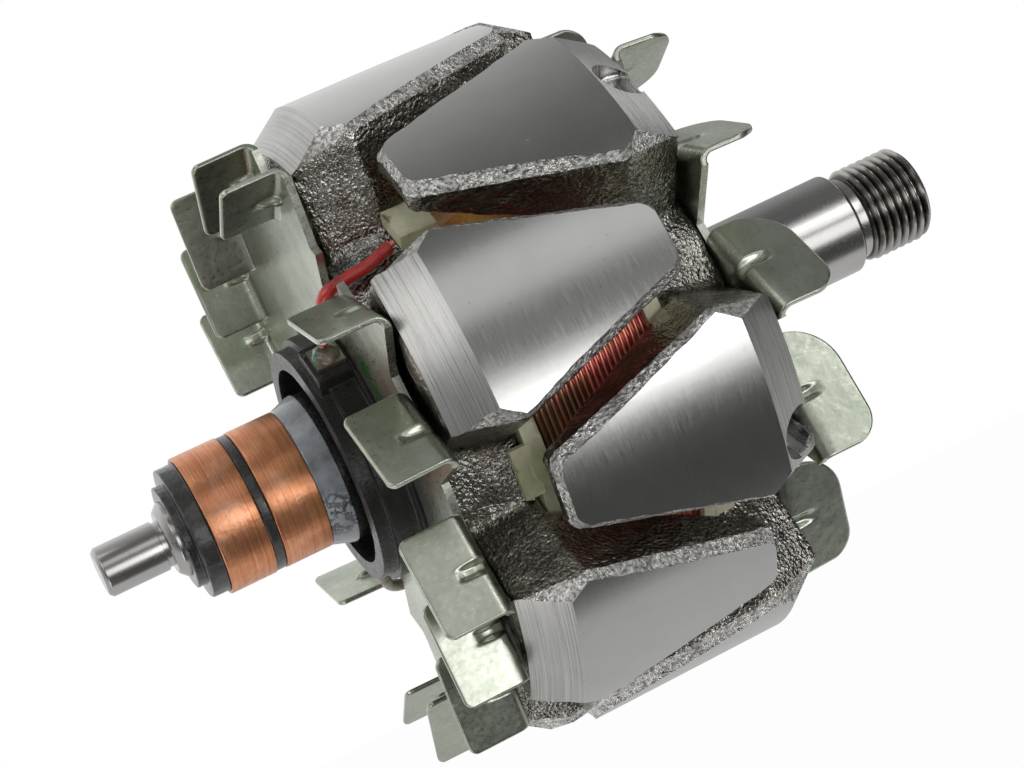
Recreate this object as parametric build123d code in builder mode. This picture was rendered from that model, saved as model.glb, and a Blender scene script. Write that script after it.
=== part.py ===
from build123d import *
import os
from math import asin, cos, degrees, hypot, radians, sin, tan

# Claw-pole alternator rotor, in millimetres.
# The shaft lies along X with its threaded end at +X, and Z is up. The origin is the middle of the shaft.
# Angles are about X, from +Y towards +Z. "Rear" is the slip-ring end, at -X.

# Shaft
SHAFT_LENGTH = 145.5
JOURNAL_RADIUS = 4.0
JOURNAL_LENGTH = 9.9
JOURNAL_CHAMFER = 0.6
JOURNAL_NECK_RADIUS = 3.65
JOURNAL_NECK_LENGTH = 0.9
RING_SEAT_RADIUS = 6.1
RING_SEAT_CHAMFER = 1.1
BODY_RADIUS = 9.0
SEAT_RADIUS = 8.5
SEAT_STATION = 29.5
SEAT_CHAMFER = 0.7
THREAD_RADIUS = 8.0
THREAD_LENGTH = 11.2
THREAD_CHAMFER = 0.9
RELIEF_RADIUS = 7.0
RELIEF_LENGTH = 1.8

# Pole pieces: two forgings with interleaved claws
POLE_MIDDLE = -0.75
CLAWS = 6
REAR_CLAW_ANGLE = 51.3
CLAW_PITCH = 360 / CLAWS
POLE_RADIUS = 53.25
POLE_END = 25.8
FACE_END = 18.35
CONE_END = 25.0
CONE_DROP = 4.75
END_EDGE_DROP = 6.65
FACE_REACH = 14.0
FACE_TIP_HALF_WIDTH = 4.6
SHOULDER_STATION = 15.0
FACE_SHOULDER_HALF_WIDTH = 14.3
FACE_HEEL_HALF_WIDTH = 11.2
TIP_ROUNDING = 2.6
SHOULDER_ROUNDING = 5.0
HEEL_ROUNDING = 1.6
FLANK_DRAFT = 4.0
BEVEL_WIDTH = 1.2
BEVEL_SLOPE = 35.0
CLAW_TIP_THICKNESS = 4.85
VALLEY_FILLET = 2.0
YOKE_INNER_FACE = 13.4
VALLEY_DROP = 2.9
BALANCE_HOLE_RADIUS = 3.7
BALANCE_HOLE_STATION = 22.2
BALANCE_HOLE_DEPTH = 9.0
BALANCE_HOLE_OFFSET = 9.2
BALANCE_GOUGE_RADIUS = 3.6
BALANCE_GOUGE_DEPTH = 2.6

# Bobbin and field winding
BOBBIN_WALL = 1.2
WINDING_RADIUS = 37.0
WINDING_DEPTH = 9.0
WINDING_TO_CLAW_ROOT = 2.0
WINDING_TO_VALLEY = 0.1
WINDING_TURNS = 26
WINDING_GROOVE = 0.32
BOBBIN_LIP_GAP = 0.2
BOBBIN_LIP_LENGTH = 1.5
TONGUE_LENGTH = 2.6
TONGUE_WIDTH = 7.9
TONGUE_THICKNESS = 1.1
TONGUE_GAP = 0.35
TAB_REACH = 2.1
TAB_LENGTH = 6.0
TAB_THICKNESS = 2.4
TAB_WIDTH = 6.7
TAB_OFFSET_ANGLE = 3.0
TAPE_THICKNESS = 0.4
TAPE_WIDTH = 14.0
START_TAPE_SPAN = 40.0
FINISH_TAPE_SPAN = 16.0

# Fans, pressed from sheet
FAN_SHEET = 1.2
BEND_RADIUS = 2.2
REAR_FAN_HOLE_RADIUS = 23.0
REAR_FAN_HUB_RADIUS = 39.5
REAR_BLADE_OUTER_RADIUS = 51.5
REAR_BLADE_INNER_RADIUS = 40.2
REAR_BLADE_SWEEP = 14.2
REAR_BLADE_HEIGHT = 10.4
REAR_BLADE_CORNERS = (1.4, 1.4)
REAR_BLADE_ANGLES = (8.3, 40, 57, 74, 111, 127.3, 164, 188.3, 215.5, 232, 249, 283, 302, 341.5)
FRONT_FAN_HOLE_RADIUS = 12.0
FRONT_FAN_HUB_RADIUS = 33.5
FRONT_BLADE_OUTER_RADIUS = 48.5
FRONT_BLADE_INNER_RADIUS = 35.0
FRONT_BLADE_SWEEP = 20.5
FRONT_BLADE_HEIGHT = 10.8
FRONT_BLADE_CORNERS = (7.5, 4.5)
FRONT_BLADE_ANGLES = (10, 40, 85, 130, 160, 190, 220, 265, 310, 340)
LOBE_ANGLE = 7.0
DART_WIDTH = 3.2
DART_LEG = 4.2
DART_DENT_WIDTH = 2.4
DART_DENT_LEG = 3.0
LEAD_SLOT_WIDTH = 7.0
LEAD_SLOT_RADIUS = 30.5

# Slip rings and their insulation
RING_RADIUS = 11.3
RING_INNER_RADIUS = 9.5
OUTER_RING_LENGTH = 7.55
INNER_RING_LENGTH = 7.75
RING_GAP = 1.7
RING_REAR_EDGE = 55.4
GAP_RIB_RADIUS = 11.15
END_FLANGE_RADIUS = 10.9
END_FLANGE_LENGTH = 2.8
END_BOSS_RADIUS = 8.6
END_BOSS_LENGTH = 1.4
COLLAR_LENGTH = 3.9
COLLAR_RADIUS = 12.6
GUARD_RIM_STATION = 34.0
GUARD_RADIUS = 19.3
GUARD_INNER_RADIUS = 16.3
GUARD_BEAD_RADIUS = 20.4
GUARD_BEAD_STATION = 31.6
GUARD_BASE_THICKNESS = 3.8
GUARD_FLANGE_GAP = 0.3
GUARD_FLANGE_LENGTH = 1.8
GUARD_BOSS_RADIUS = 12.2
LUG_WIDTH = 7.4
LUG_HEIGHT = 1.9
LUG_STATION = 33.0

# Conductors from the rings to the winding
CONDUCTOR_WIDTH = 2.0
CONDUCTOR_THICKNESS = 1.4
CONDUCTOR_INNER_RADIUS = 6.9
CONDUCTOR_FACE = 28.4
RISER_GAP = 0.05
TERMINAL_WIDTH = 4.4
TERMINAL_THICKNESS = 0.8
TERMINAL_LENGTH = 4.6
TERMINAL_STATION = 32.2
BEAD_RADIUS = 2.5
BEAD_HEIGHT = 1.8
SLEEVE_RADIUS = 1.0
WIRE_RADIUS = 0.5
LEAD_VALLEYS = (2, 5)
LEAD_BEND_RADIUS = 3.0
LEAD_START_OFFSET = 1.5
LEAD_VALLEY_STATION = 20.6
LEAD_FLOOR_GAP = 0.3
BARE_WIRE_LENGTH = 0.8

# Places that follow from the sizes above
SHAFT_REAR = -SHAFT_LENGTH / 2
SHAFT_FRONT = SHAFT_LENGTH / 2
REAR_FACE = POLE_MIDDLE - POLE_END
RING_REAR_X = POLE_MIDDLE - RING_REAR_EDGE
GAP_START_X = RING_REAR_X + OUTER_RING_LENGTH
GAP_END_X = GAP_START_X + RING_GAP
RING_FRONT_X = GAP_END_X + INNER_RING_LENGTH
COLLAR_FRONT_X = RING_FRONT_X + COLLAR_LENGTH
FLANGE_REAR_X = RING_REAR_X - END_FLANGE_LENGTH
BOSS_REAR_X = FLANGE_REAR_X - END_BOSS_LENGTH
GUARD_FLOOR_X = REAR_FACE - GUARD_BASE_THICKNESS
CONE_RADIUS = POLE_RADIUS - CONE_DROP
END_EDGE_RADIUS = POLE_RADIUS - END_EDGE_DROP
CLAW_TIP_INNER_RADIUS = POLE_RADIUS - CLAW_TIP_THICKNESS
CLAW_ROOT_RADIUS = WINDING_RADIUS + WINDING_TO_CLAW_ROOT
VALLEY_INNER_RADIUS = WINDING_RADIUS - WINDING_TO_VALLEY
VALLEY_END_RADIUS = VALLEY_INNER_RADIUS - VALLEY_DROP
WINDING_HALF_LENGTH = YOKE_INNER_FACE - BOBBIN_WALL
SPOOL_RADIUS = WINDING_RADIUS - WINDING_DEPTH
CORE_RADIUS = SPOOL_RADIUS - BOBBIN_WALL
LIP_RADIUS = WINDING_RADIUS + BOBBIN_LIP_GAP
FRONT_CLAW_ANGLE = REAR_CLAW_ANGLE - CLAW_PITCH / 2
LEAD_ANGLES = [FRONT_CLAW_ANGLE + valley * CLAW_PITCH for valley in LEAD_VALLEYS]
LEAD_ANGLE, FINISH_LEAD_ANGLE = LEAD_ANGLES
RISER_TOP = (RING_INNER_RADIUS**2 - (CONDUCTOR_WIDTH / 2) ** 2) ** 0.5 - RISER_GAP

os.makedirs("parts", exist_ok=True)


def save(builder, name):
    """Labels a finished piece and writes its STEP file."""
    builder.part.label = name
    export_step(builder.part, "parts/" + name + ".step")


def around(radius, angle):
    """The point (y, z) at a radius and an angle about the shaft."""
    return radius * cos(radians(angle)), radius * sin(radians(angle))


def ring(x_start, x_end, outer, inner):
    """Adds a plain turned ring about the shaft to the open part."""
    with BuildSketch(Plane.YZ.offset(x_start)) as section:
        Circle(outer)
        Circle(inner, mode=Mode.SUBTRACT)
    extrude(section.sketch, amount=x_end - x_start)


# Shaft: journal, ring seat, body, bearing seat, relief groove and the plain blank of the thread
NECK_X = SHAFT_REAR + JOURNAL_LENGTH
SHOULDER_X = NECK_X + JOURNAL_NECK_LENGTH
THREAD_X = SHAFT_FRONT - THREAD_LENGTH
RELIEF_X = THREAD_X - RELIEF_LENGTH
with BuildPart() as shaft:
    with BuildSketch(Plane.XZ):
        with BuildLine():
            Polyline(
                (SHAFT_REAR, 0),
                (SHAFT_REAR, JOURNAL_RADIUS - JOURNAL_CHAMFER),
                (SHAFT_REAR + JOURNAL_CHAMFER, JOURNAL_RADIUS),
                (NECK_X, JOURNAL_RADIUS),
                (NECK_X, JOURNAL_NECK_RADIUS),
                (SHOULDER_X, JOURNAL_NECK_RADIUS),
                (SHOULDER_X, RING_SEAT_RADIUS - RING_SEAT_CHAMFER),
                (SHOULDER_X + RING_SEAT_CHAMFER, RING_SEAT_RADIUS),
                (REAR_FACE, RING_SEAT_RADIUS),
                (REAR_FACE, BODY_RADIUS),
                (POLE_MIDDLE + SEAT_STATION, BODY_RADIUS),
                (POLE_MIDDLE + SEAT_STATION, SEAT_RADIUS),
                (RELIEF_X - SEAT_CHAMFER, SEAT_RADIUS),
                (RELIEF_X, SEAT_RADIUS - SEAT_CHAMFER),
                (RELIEF_X, RELIEF_RADIUS),
                (THREAD_X, RELIEF_RADIUS),
                (THREAD_X, THREAD_RADIUS - THREAD_CHAMFER),
                (THREAD_X + THREAD_CHAMFER, THREAD_RADIUS),
                (SHAFT_FRONT - THREAD_CHAMFER, THREAD_RADIUS),
                (SHAFT_FRONT, THREAD_RADIUS - THREAD_CHAMFER),
                (SHAFT_FRONT, 0),
                close=True,
            )
        make_face()
    revolve(axis=Axis.X)
save(shaft, "shaft")


def claw_outline(side, reach, tip_half_width, shoulder_half_width, heel_half_width):
    """The outline of a claw seen from outside, as a sketch at the pole radius."""
    with BuildSketch(Plane.XY.offset(POLE_RADIUS)) as outline:
        with BuildLine():
            Polyline(
                (POLE_MIDDLE - side * reach, -tip_half_width),
                (POLE_MIDDLE - side * reach, tip_half_width),
                (POLE_MIDDLE + side * SHOULDER_STATION, shoulder_half_width),
                (POLE_MIDDLE + side * POLE_END, heel_half_width),
                (POLE_MIDDLE + side * POLE_END, -heel_half_width),
                (POLE_MIDDLE + side * SHOULDER_STATION, -shoulder_half_width),
                close=True,
            )
        make_face()
        along = outline.vertices().group_by(Axis.X)
        across = outline.vertices().group_by(Axis.Y)
        tips, heels = (along[0], along[-1]) if side > 0 else (along[-1], along[0])
        fillet(tips, TIP_ROUNDING)
        fillet(across[0] + across[-1], SHOULDER_ROUNDING)
        fillet(heels, HEEL_ROUNDING)
    return outline.sketch


def claw_solid(side):
    """One claw and its arm, standing up along +Z; side is -1 on the rear pole and +1 on the front one."""
    flare = tan(radians(BEVEL_SLOPE))

    def at(station):
        return POLE_MIDDLE + side * station

    def drawn(half_width, radius):
        """The half width at the top of the bevelled column that gives this half width on the turned face."""
        drop = POLE_RADIUS - (radius**2 - half_width**2) ** 0.5
        return half_width - drop * flare

    body_outline = claw_outline(
        side,
        FACE_REACH + BEVEL_WIDTH,
        FACE_TIP_HALF_WIDTH + BEVEL_WIDTH,
        FACE_SHOULDER_HALF_WIDTH + BEVEL_WIDTH,
        FACE_HEEL_HALF_WIDTH + BEVEL_WIDTH,
    )
    face_outline = claw_outline(
        side,
        FACE_REACH,
        drawn(FACE_TIP_HALF_WIDTH, POLE_RADIUS),
        drawn(FACE_SHOULDER_HALF_WIDTH, POLE_RADIUS),
        drawn(FACE_HEEL_HALF_WIDTH, CONE_RADIUS),
    )
    depth = POLE_RADIUS - CORE_RADIUS
    with BuildPart() as claw:
        # The forged body narrows inwards, and the bevel round the turned face widens inwards
        extrude(body_outline, amount=-depth, taper=FLANK_DRAFT)
        extrude(face_outline, amount=-depth, taper=-BEVEL_SLOPE, mode=Mode.INTERSECT)
        # The section along the shaft, turned about it
        with BuildSketch(Plane.XZ):
            with BuildLine():
                Polyline(
                    (at(-FACE_REACH - BEVEL_WIDTH), CLAW_TIP_INNER_RADIUS),
                    (at(-FACE_REACH - BEVEL_WIDTH), POLE_RADIUS),
                    (at(FACE_END), POLE_RADIUS),
                    (at(CONE_END), CONE_RADIUS),
                    (at(POLE_END), END_EDGE_RADIUS),
                    (at(POLE_END), CORE_RADIUS),
                    (at(YOKE_INNER_FACE), CORE_RADIUS),
                    (at(YOKE_INNER_FACE), CLAW_ROOT_RADIUS),
                    close=True,
                )
            make_face()
        revolve(axis=Axis.X, mode=Mode.INTERSECT)
    return claw.part


def is_floor_corner(edge):
    """Whether an edge of a pole piece is where the flank of an arm meets the floor of a valley."""
    middle = edge.center()
    radius = hypot(middle.Y, middle.Z)
    return VALLEY_END_RADIUS < radius < VALLEY_INNER_RADIUS and edge.bounding_box().size.X > POLE_END / 4


def pole_piece(side, first_angle, balance_marks=()):
    """A whole pole piece: half of the core, the yoke with its valleys, and the claws.

    Each balance mark is the angle, radius and depth of a drilling into the cone of a claw.
    """

    def at(station):
        return POLE_MIDDLE + side * station

    claw = claw_solid(side)
    # The section is drawn in the first claw's own plane, so that the seam of the turned faces lies inside it
    claw_y, claw_z = around(1, first_angle)
    first_claw_plane = Plane(origin=(0, 0, 0), x_dir=(1, 0, 0), z_dir=(0, -claw_z, claw_y))
    with BuildPart() as pole:
        with BuildSketch(first_claw_plane):
            with BuildLine():
                Polyline(
                    (at(0), BODY_RADIUS),
                    (at(0), CORE_RADIUS),
                    (at(YOKE_INNER_FACE), CORE_RADIUS),
                    (at(YOKE_INNER_FACE), VALLEY_INNER_RADIUS),
                    (at(POLE_END), VALLEY_END_RADIUS),
                    (at(POLE_END), BODY_RADIUS),
                    close=True,
                )
            make_face()
        revolve(axis=Axis.X)
        for number in range(CLAWS):
            add(claw, rotation=(first_angle + number * CLAW_PITCH - 90, 0, 0))
        floor_corners = pole.edges().filter_by(is_floor_corner)
        fillet(floor_corners, VALLEY_FILLET)
        for angle, radius, depth in balance_marks:
            slope = (POLE_RADIUS - CONE_RADIUS) / (CONE_END - FACE_END)
            cone_drop = slope * (BALANCE_HOLE_STATION - FACE_END)
            top_y, top_z = around(POLE_RADIUS, angle)
            drill = Plane(
                origin=(at(BALANCE_HOLE_STATION), top_y, top_z),
                x_dir=(1, 0, 0),
                z_dir=(0, top_y, top_z),
            )
            with BuildSketch(drill):
                Circle(radius)
            extrude(amount=-(cone_drop + depth), mode=Mode.SUBTRACT)
    return pole


rear_pole = pole_piece(-1, REAR_CLAW_ANGLE)
save(rear_pole, "rear_pole")

# The front pole also has the two marks left by balancing: a drilled hole and a shallow gouge
DRILLED_ANGLE = FRONT_CLAW_ANGLE + 3 * CLAW_PITCH + BALANCE_HOLE_OFFSET
GOUGED_ANGLE = FRONT_CLAW_ANGLE + 2 * CLAW_PITCH
front_pole = pole_piece(
    1,
    FRONT_CLAW_ANGLE,
    (
        (DRILLED_ANGLE, BALANCE_HOLE_RADIUS, BALANCE_HOLE_DEPTH),
        (GOUGED_ANGLE, BALANCE_GOUGE_RADIUS, BALANCE_GOUGE_DEPTH),
    ),
)
save(front_pole, "front_pole")

# Bobbin: spool, two flanges with lips over the winding, tongues in the valleys, and the lead tabs
with BuildPart() as bobbin:
    with BuildSketch(Plane.XZ):
        with BuildLine():
            outer_half = [
                (WINDING_HALF_LENGTH, SPOOL_RADIUS),
                (WINDING_HALF_LENGTH, LIP_RADIUS),
                (WINDING_HALF_LENGTH - BOBBIN_LIP_LENGTH, LIP_RADIUS),
                (WINDING_HALF_LENGTH - BOBBIN_LIP_LENGTH, LIP_RADIUS + BOBBIN_WALL),
                (YOKE_INNER_FACE, LIP_RADIUS + BOBBIN_WALL),
                (YOKE_INNER_FACE, CORE_RADIUS),
            ]
            front = [(POLE_MIDDLE + station, radius) for station, radius in outer_half]
            rear = [(POLE_MIDDLE - station, radius) for station, radius in reversed(outer_half)]
            Polyline(*front, *rear, close=True)
        make_face()
    revolve(axis=Axis.X)
    for side, first_angle in ((-1, FRONT_CLAW_ANGLE), (1, REAR_CLAW_ANGLE)):
        for number in range(CLAWS):
            if side < 0 and number in LEAD_VALLEYS:
                continue
            angle = first_angle + number * CLAW_PITCH
            tongue_y, tongue_z = around(VALLEY_INNER_RADIUS + TONGUE_GAP + TONGUE_THICKNESS / 2, angle)
            with BuildSketch(Plane.YZ.offset(POLE_MIDDLE + side * (YOKE_INNER_FACE - BOBBIN_WALL / 2))):
                with Locations((tongue_y, tongue_z)):
                    Rectangle(TONGUE_THICKNESS, TONGUE_WIDTH, rotation=angle)
            extrude(amount=side * (BOBBIN_WALL / 2 + TONGUE_LENGTH))
    for lead_angle in LEAD_ANGLES:
        angle = lead_angle - TAB_OFFSET_ANGLE
        tab_y, tab_z = around(LIP_RADIUS + BOBBIN_WALL / 2 + TAB_THICKNESS / 2, angle)
        with BuildSketch(Plane.YZ.offset(POLE_MIDDLE - YOKE_INNER_FACE - TAB_REACH)):
            with Locations((tab_y, tab_z)):
                Rectangle(TAB_THICKNESS, TAB_WIDTH, rotation=angle)
        extrude(amount=TAB_LENGTH)
save(bobbin, "bobbin")

# Field winding: its outer layer shows the turns as ridges
with BuildPart() as field_coil:
    turn = 2 * WINDING_HALF_LENGTH / WINDING_TURNS
    start_x = POLE_MIDDLE - WINDING_HALF_LENGTH
    with BuildSketch(Plane.XZ):
        with BuildLine():
            crest = []
            for number in range(WINDING_TURNS):
                crest.append((start_x + number * turn, WINDING_RADIUS - WINDING_GROOVE))
                crest.append((start_x + (number + 0.5) * turn, WINDING_RADIUS))
            crest.append((start_x + 2 * WINDING_HALF_LENGTH, WINDING_RADIUS - WINDING_GROOVE))
            Polyline(
                (start_x, SPOOL_RADIUS),
                *crest,
                (start_x + 2 * WINDING_HALF_LENGTH, SPOOL_RADIUS),
                close=True,
            )
        make_face()
    revolve(axis=Axis.X)
save(field_coil, "field_coil")


def tape(name, first_angle, span, start_x):
    """A strip of varnished tape over the outer layer of the winding."""
    with BuildPart() as strip:
        with BuildSketch(Plane.YZ.offset(start_x)):
            with BuildLine():
                under = CenterArc((0, 0), WINDING_RADIUS, first_angle, span)
                over = CenterArc((0, 0), WINDING_RADIUS + TAPE_THICKNESS, first_angle, span)
                Line(under @ 0, over @ 0)
                Line(under @ 1, over @ 1)
            make_face()
        extrude(amount=TAPE_WIDTH)
    save(strip, name)


LIP_INNER_X = POLE_MIDDLE - WINDING_HALF_LENGTH + BOBBIN_LIP_LENGTH
tape("start_lead_tape", LEAD_ANGLE - START_TAPE_SPAN + CLAW_PITCH / 6, START_TAPE_SPAN, LIP_INNER_X)
tape("finish_lead_tape", LEAD_ANGLE + CLAW_PITCH * 4 / 3, FINISH_TAPE_SPAN, LIP_INNER_X)


def blade_solid(side, outer_radius, inner_radius, sweep_angle, height, corners):
    """One fan blade with its bend and stiffening dart; its outer end is at angle 0."""
    outer_end = Vector(0, *around(outer_radius, 0))
    inner_end = Vector(0, *around(inner_radius, -sweep_angle))
    chord = outer_end - inner_end
    lobe_side = Vector(1, 0, 0).cross(chord.normalized())
    face_x = POLE_MIDDLE + side * POLE_END
    corner = Plane(
        origin=Vector(face_x, inner_end.Y, inner_end.Z),
        x_dir=lobe_side,
        z_dir=chord,
    )
    with BuildPart() as blade:
        with BuildSketch(corner):
            with BuildLine():
                Line((2 * BEND_RADIUS, 0), (BEND_RADIUS, 0))
                RadiusArc((BEND_RADIUS, 0), (0, side * BEND_RADIUS), side * BEND_RADIUS)
                Polyline(
                    (0, side * BEND_RADIUS),
                    (0, side * height),
                    (FAN_SHEET, side * height),
                    (FAN_SHEET, side * BEND_RADIUS),
                )
                inner_bend = side * (BEND_RADIUS - FAN_SHEET)
                RadiusArc((FAN_SHEET, side * BEND_RADIUS), (BEND_RADIUS, side * FAN_SHEET), -inner_bend)
                Line((BEND_RADIUS, side * FAN_SHEET), (2 * BEND_RADIUS, side * FAN_SHEET))
                Line((2 * BEND_RADIUS, side * FAN_SHEET), (2 * BEND_RADIUS, 0))
            make_face()
        extrude(amount=chord.length)
        free_edges = blade.edges().filter_by(lambda edge: abs(edge.length - FAN_SHEET) < 0.01)
        free_edges = free_edges.filter_by(lambda edge: abs(edge.center().X - face_x) > height - 0.01)
        by_radius = free_edges.sort_by(lambda edge: hypot(edge.center().Y, edge.center().Z))
        fillet(by_radius[0], corners[0])
        fillet(by_radius[-1], corners[1])
        # The dart: a rib inside the bend, and the dent that formed it outside
        middle = corner.offset((chord.length - DART_WIDTH) / 2)
        with BuildSketch(middle):
            with BuildLine():
                Polyline(
                    (FAN_SHEET / 2, side * FAN_SHEET / 2),
                    (FAN_SHEET / 2, side * (FAN_SHEET + DART_LEG)),
                    (FAN_SHEET + DART_LEG, side * FAN_SHEET / 2),
                    close=True,
                )
            make_face()
        extrude(amount=DART_WIDTH)
        outside = corner.offset((chord.length - DART_DENT_WIDTH) / 2)
        with BuildSketch(outside):
            with BuildLine():
                Polyline((0, 0), (0, side * DART_DENT_LEG), (DART_DENT_LEG, 0), close=True)
            make_face()
        extrude(amount=DART_DENT_WIDTH, mode=Mode.SUBTRACT)
    return blade.part


def fan(side, angles, hole_radius, hub_radius, outer_radius, inner_radius, sweep_angle, height, corners):
    """A pressed fan: a plate with a lobe for each blade, and the blades bent up from the lobes."""
    blade = blade_solid(side, outer_radius, inner_radius, sweep_angle, height, corners)
    outer_end = Vector(*around(outer_radius, 0))
    inner_end = Vector(*around(inner_radius, -sweep_angle))
    lobe_side = Vector(0, 0, 1).cross((outer_end - inner_end).normalized())
    bend_outer = outer_end + lobe_side * BEND_RADIUS
    bend_inner = inner_end + lobe_side * BEND_RADIUS
    with BuildPart() as sheet:
        with BuildSketch(Plane.YZ.offset(POLE_MIDDLE + side * POLE_END)):
            Circle(hub_radius)
            for angle in angles:
                with BuildLine():
                    turned = [
                        bend_inner.rotate(Axis.Z, angle),
                        bend_outer.rotate(Axis.Z, angle),
                        Vector(*around(hub_radius - FAN_SHEET, angle + LOBE_ANGLE)),
                        Vector(*around(hub_radius / 2, angle)),
                        Vector(*around(hub_radius - FAN_SHEET, angle - sweep_angle)),
                    ]
                    Polyline(*turned, close=True)
                make_face()
            Circle(hole_radius, mode=Mode.SUBTRACT)
            if side < 0:
                for angle in LEAD_ANGLES:
                    slot_y, slot_z = around(LEAD_SLOT_RADIUS + outer_radius / 2, angle)
                    with Locations((slot_y, slot_z)):
                        Rectangle(outer_radius, LEAD_SLOT_WIDTH, rotation=angle, mode=Mode.SUBTRACT)
        extrude(amount=side * FAN_SHEET)
        for angle in angles:
            add(blade, rotation=(angle, 0, 0))
    return sheet


rear_fan = fan(
    -1,
    REAR_BLADE_ANGLES,
    REAR_FAN_HOLE_RADIUS,
    REAR_FAN_HUB_RADIUS,
    REAR_BLADE_OUTER_RADIUS,
    REAR_BLADE_INNER_RADIUS,
    REAR_BLADE_SWEEP,
    REAR_BLADE_HEIGHT,
    REAR_BLADE_CORNERS,
)
save(rear_fan, "rear_fan")
front_fan = fan(
    1,
    FRONT_BLADE_ANGLES,
    FRONT_FAN_HOLE_RADIUS,
    FRONT_FAN_HUB_RADIUS,
    FRONT_BLADE_OUTER_RADIUS,
    FRONT_BLADE_INNER_RADIUS,
    FRONT_BLADE_SWEEP,
    FRONT_BLADE_HEIGHT,
    FRONT_BLADE_CORNERS,
)
save(front_fan, "front_fan")

# Slip rings
with BuildPart() as outer_slip_ring:
    ring(RING_REAR_X, GAP_START_X, RING_RADIUS, RING_INNER_RADIUS)
save(outer_slip_ring, "outer_slip_ring")

with BuildPart() as inner_slip_ring:
    ring(GAP_END_X, RING_FRONT_X, RING_RADIUS, RING_INNER_RADIUS)
save(inner_slip_ring, "inner_slip_ring")


def conductor_cut(x_start, x_end, angle):
    """Cuts the axial channel of one conductor out of the open part."""
    middle_y, middle_z = around(CONDUCTOR_INNER_RADIUS + CONDUCTOR_THICKNESS / 2, angle)
    with BuildSketch(Plane.YZ.offset(x_start)) as section:
        with Locations((middle_y, middle_z)):
            Rectangle(CONDUCTOR_THICKNESS, CONDUCTOR_WIDTH, rotation=angle)
    extrude(section.sketch, amount=x_end - x_start, mode=Mode.SUBTRACT)


def riser_cut(x_start, angle):
    """Cuts the short channel in which a conductor rises to its ring."""
    length = RISER_TOP - CONDUCTOR_INNER_RADIUS
    middle_y, middle_z = around(CONDUCTOR_INNER_RADIUS + length / 2, angle)
    with BuildSketch(Plane.YZ.offset(x_start)) as section:
        with Locations((middle_y, middle_z)):
            Rectangle(length, CONDUCTOR_WIDTH, rotation=angle)
    extrude(section.sketch, amount=CONDUCTOR_THICKNESS, mode=Mode.SUBTRACT)


OUTER_LEAD_X = (RING_REAR_X + GAP_START_X) / 2
INNER_LEAD_X = (GAP_END_X + RING_FRONT_X) / 2
CONDUCTORS = (
    ("outer_ring_lead", OUTER_LEAD_X, LEAD_ANGLE),
    ("inner_ring_lead", INNER_LEAD_X, FINISH_LEAD_ANGLE),
)

# Moulding under the rings, with the rib between them and the stepped rear end
with BuildPart() as slip_ring_moulding:
    with BuildSketch(Plane.XZ):
        with BuildLine():
            Polyline(
                (BOSS_REAR_X, RING_SEAT_RADIUS),
                (BOSS_REAR_X, END_BOSS_RADIUS),
                (FLANGE_REAR_X, END_BOSS_RADIUS),
                (FLANGE_REAR_X, END_FLANGE_RADIUS),
                (RING_REAR_X, END_FLANGE_RADIUS),
                (RING_REAR_X, RING_INNER_RADIUS),
                (GAP_START_X, RING_INNER_RADIUS),
                (GAP_START_X, GAP_RIB_RADIUS),
                (GAP_END_X, GAP_RIB_RADIUS),
                (GAP_END_X, RING_INNER_RADIUS),
                (COLLAR_FRONT_X, RING_INNER_RADIUS),
                (COLLAR_FRONT_X, RING_SEAT_RADIUS),
                close=True,
            )
        make_face()
    revolve(axis=Axis.X)
    for name, start_x, angle in CONDUCTORS:
        conductor_cut(start_x, COLLAR_FRONT_X, angle)
        riser_cut(start_x, angle)
save(slip_ring_moulding, "slip_ring_moulding")

# Resin collar between the inner ring and the guard
with BuildPart() as ring_collar:
    with BuildSketch(Plane.XZ):
        with BuildLine():
            Polyline(
                (RING_FRONT_X, RING_INNER_RADIUS),
                (RING_FRONT_X, RING_RADIUS),
                (COLLAR_FRONT_X, COLLAR_RADIUS),
                (COLLAR_FRONT_X, RING_INNER_RADIUS),
                close=True,
            )
        make_face()
    revolve(axis=Axis.X)
save(ring_collar, "ring_collar")

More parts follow.
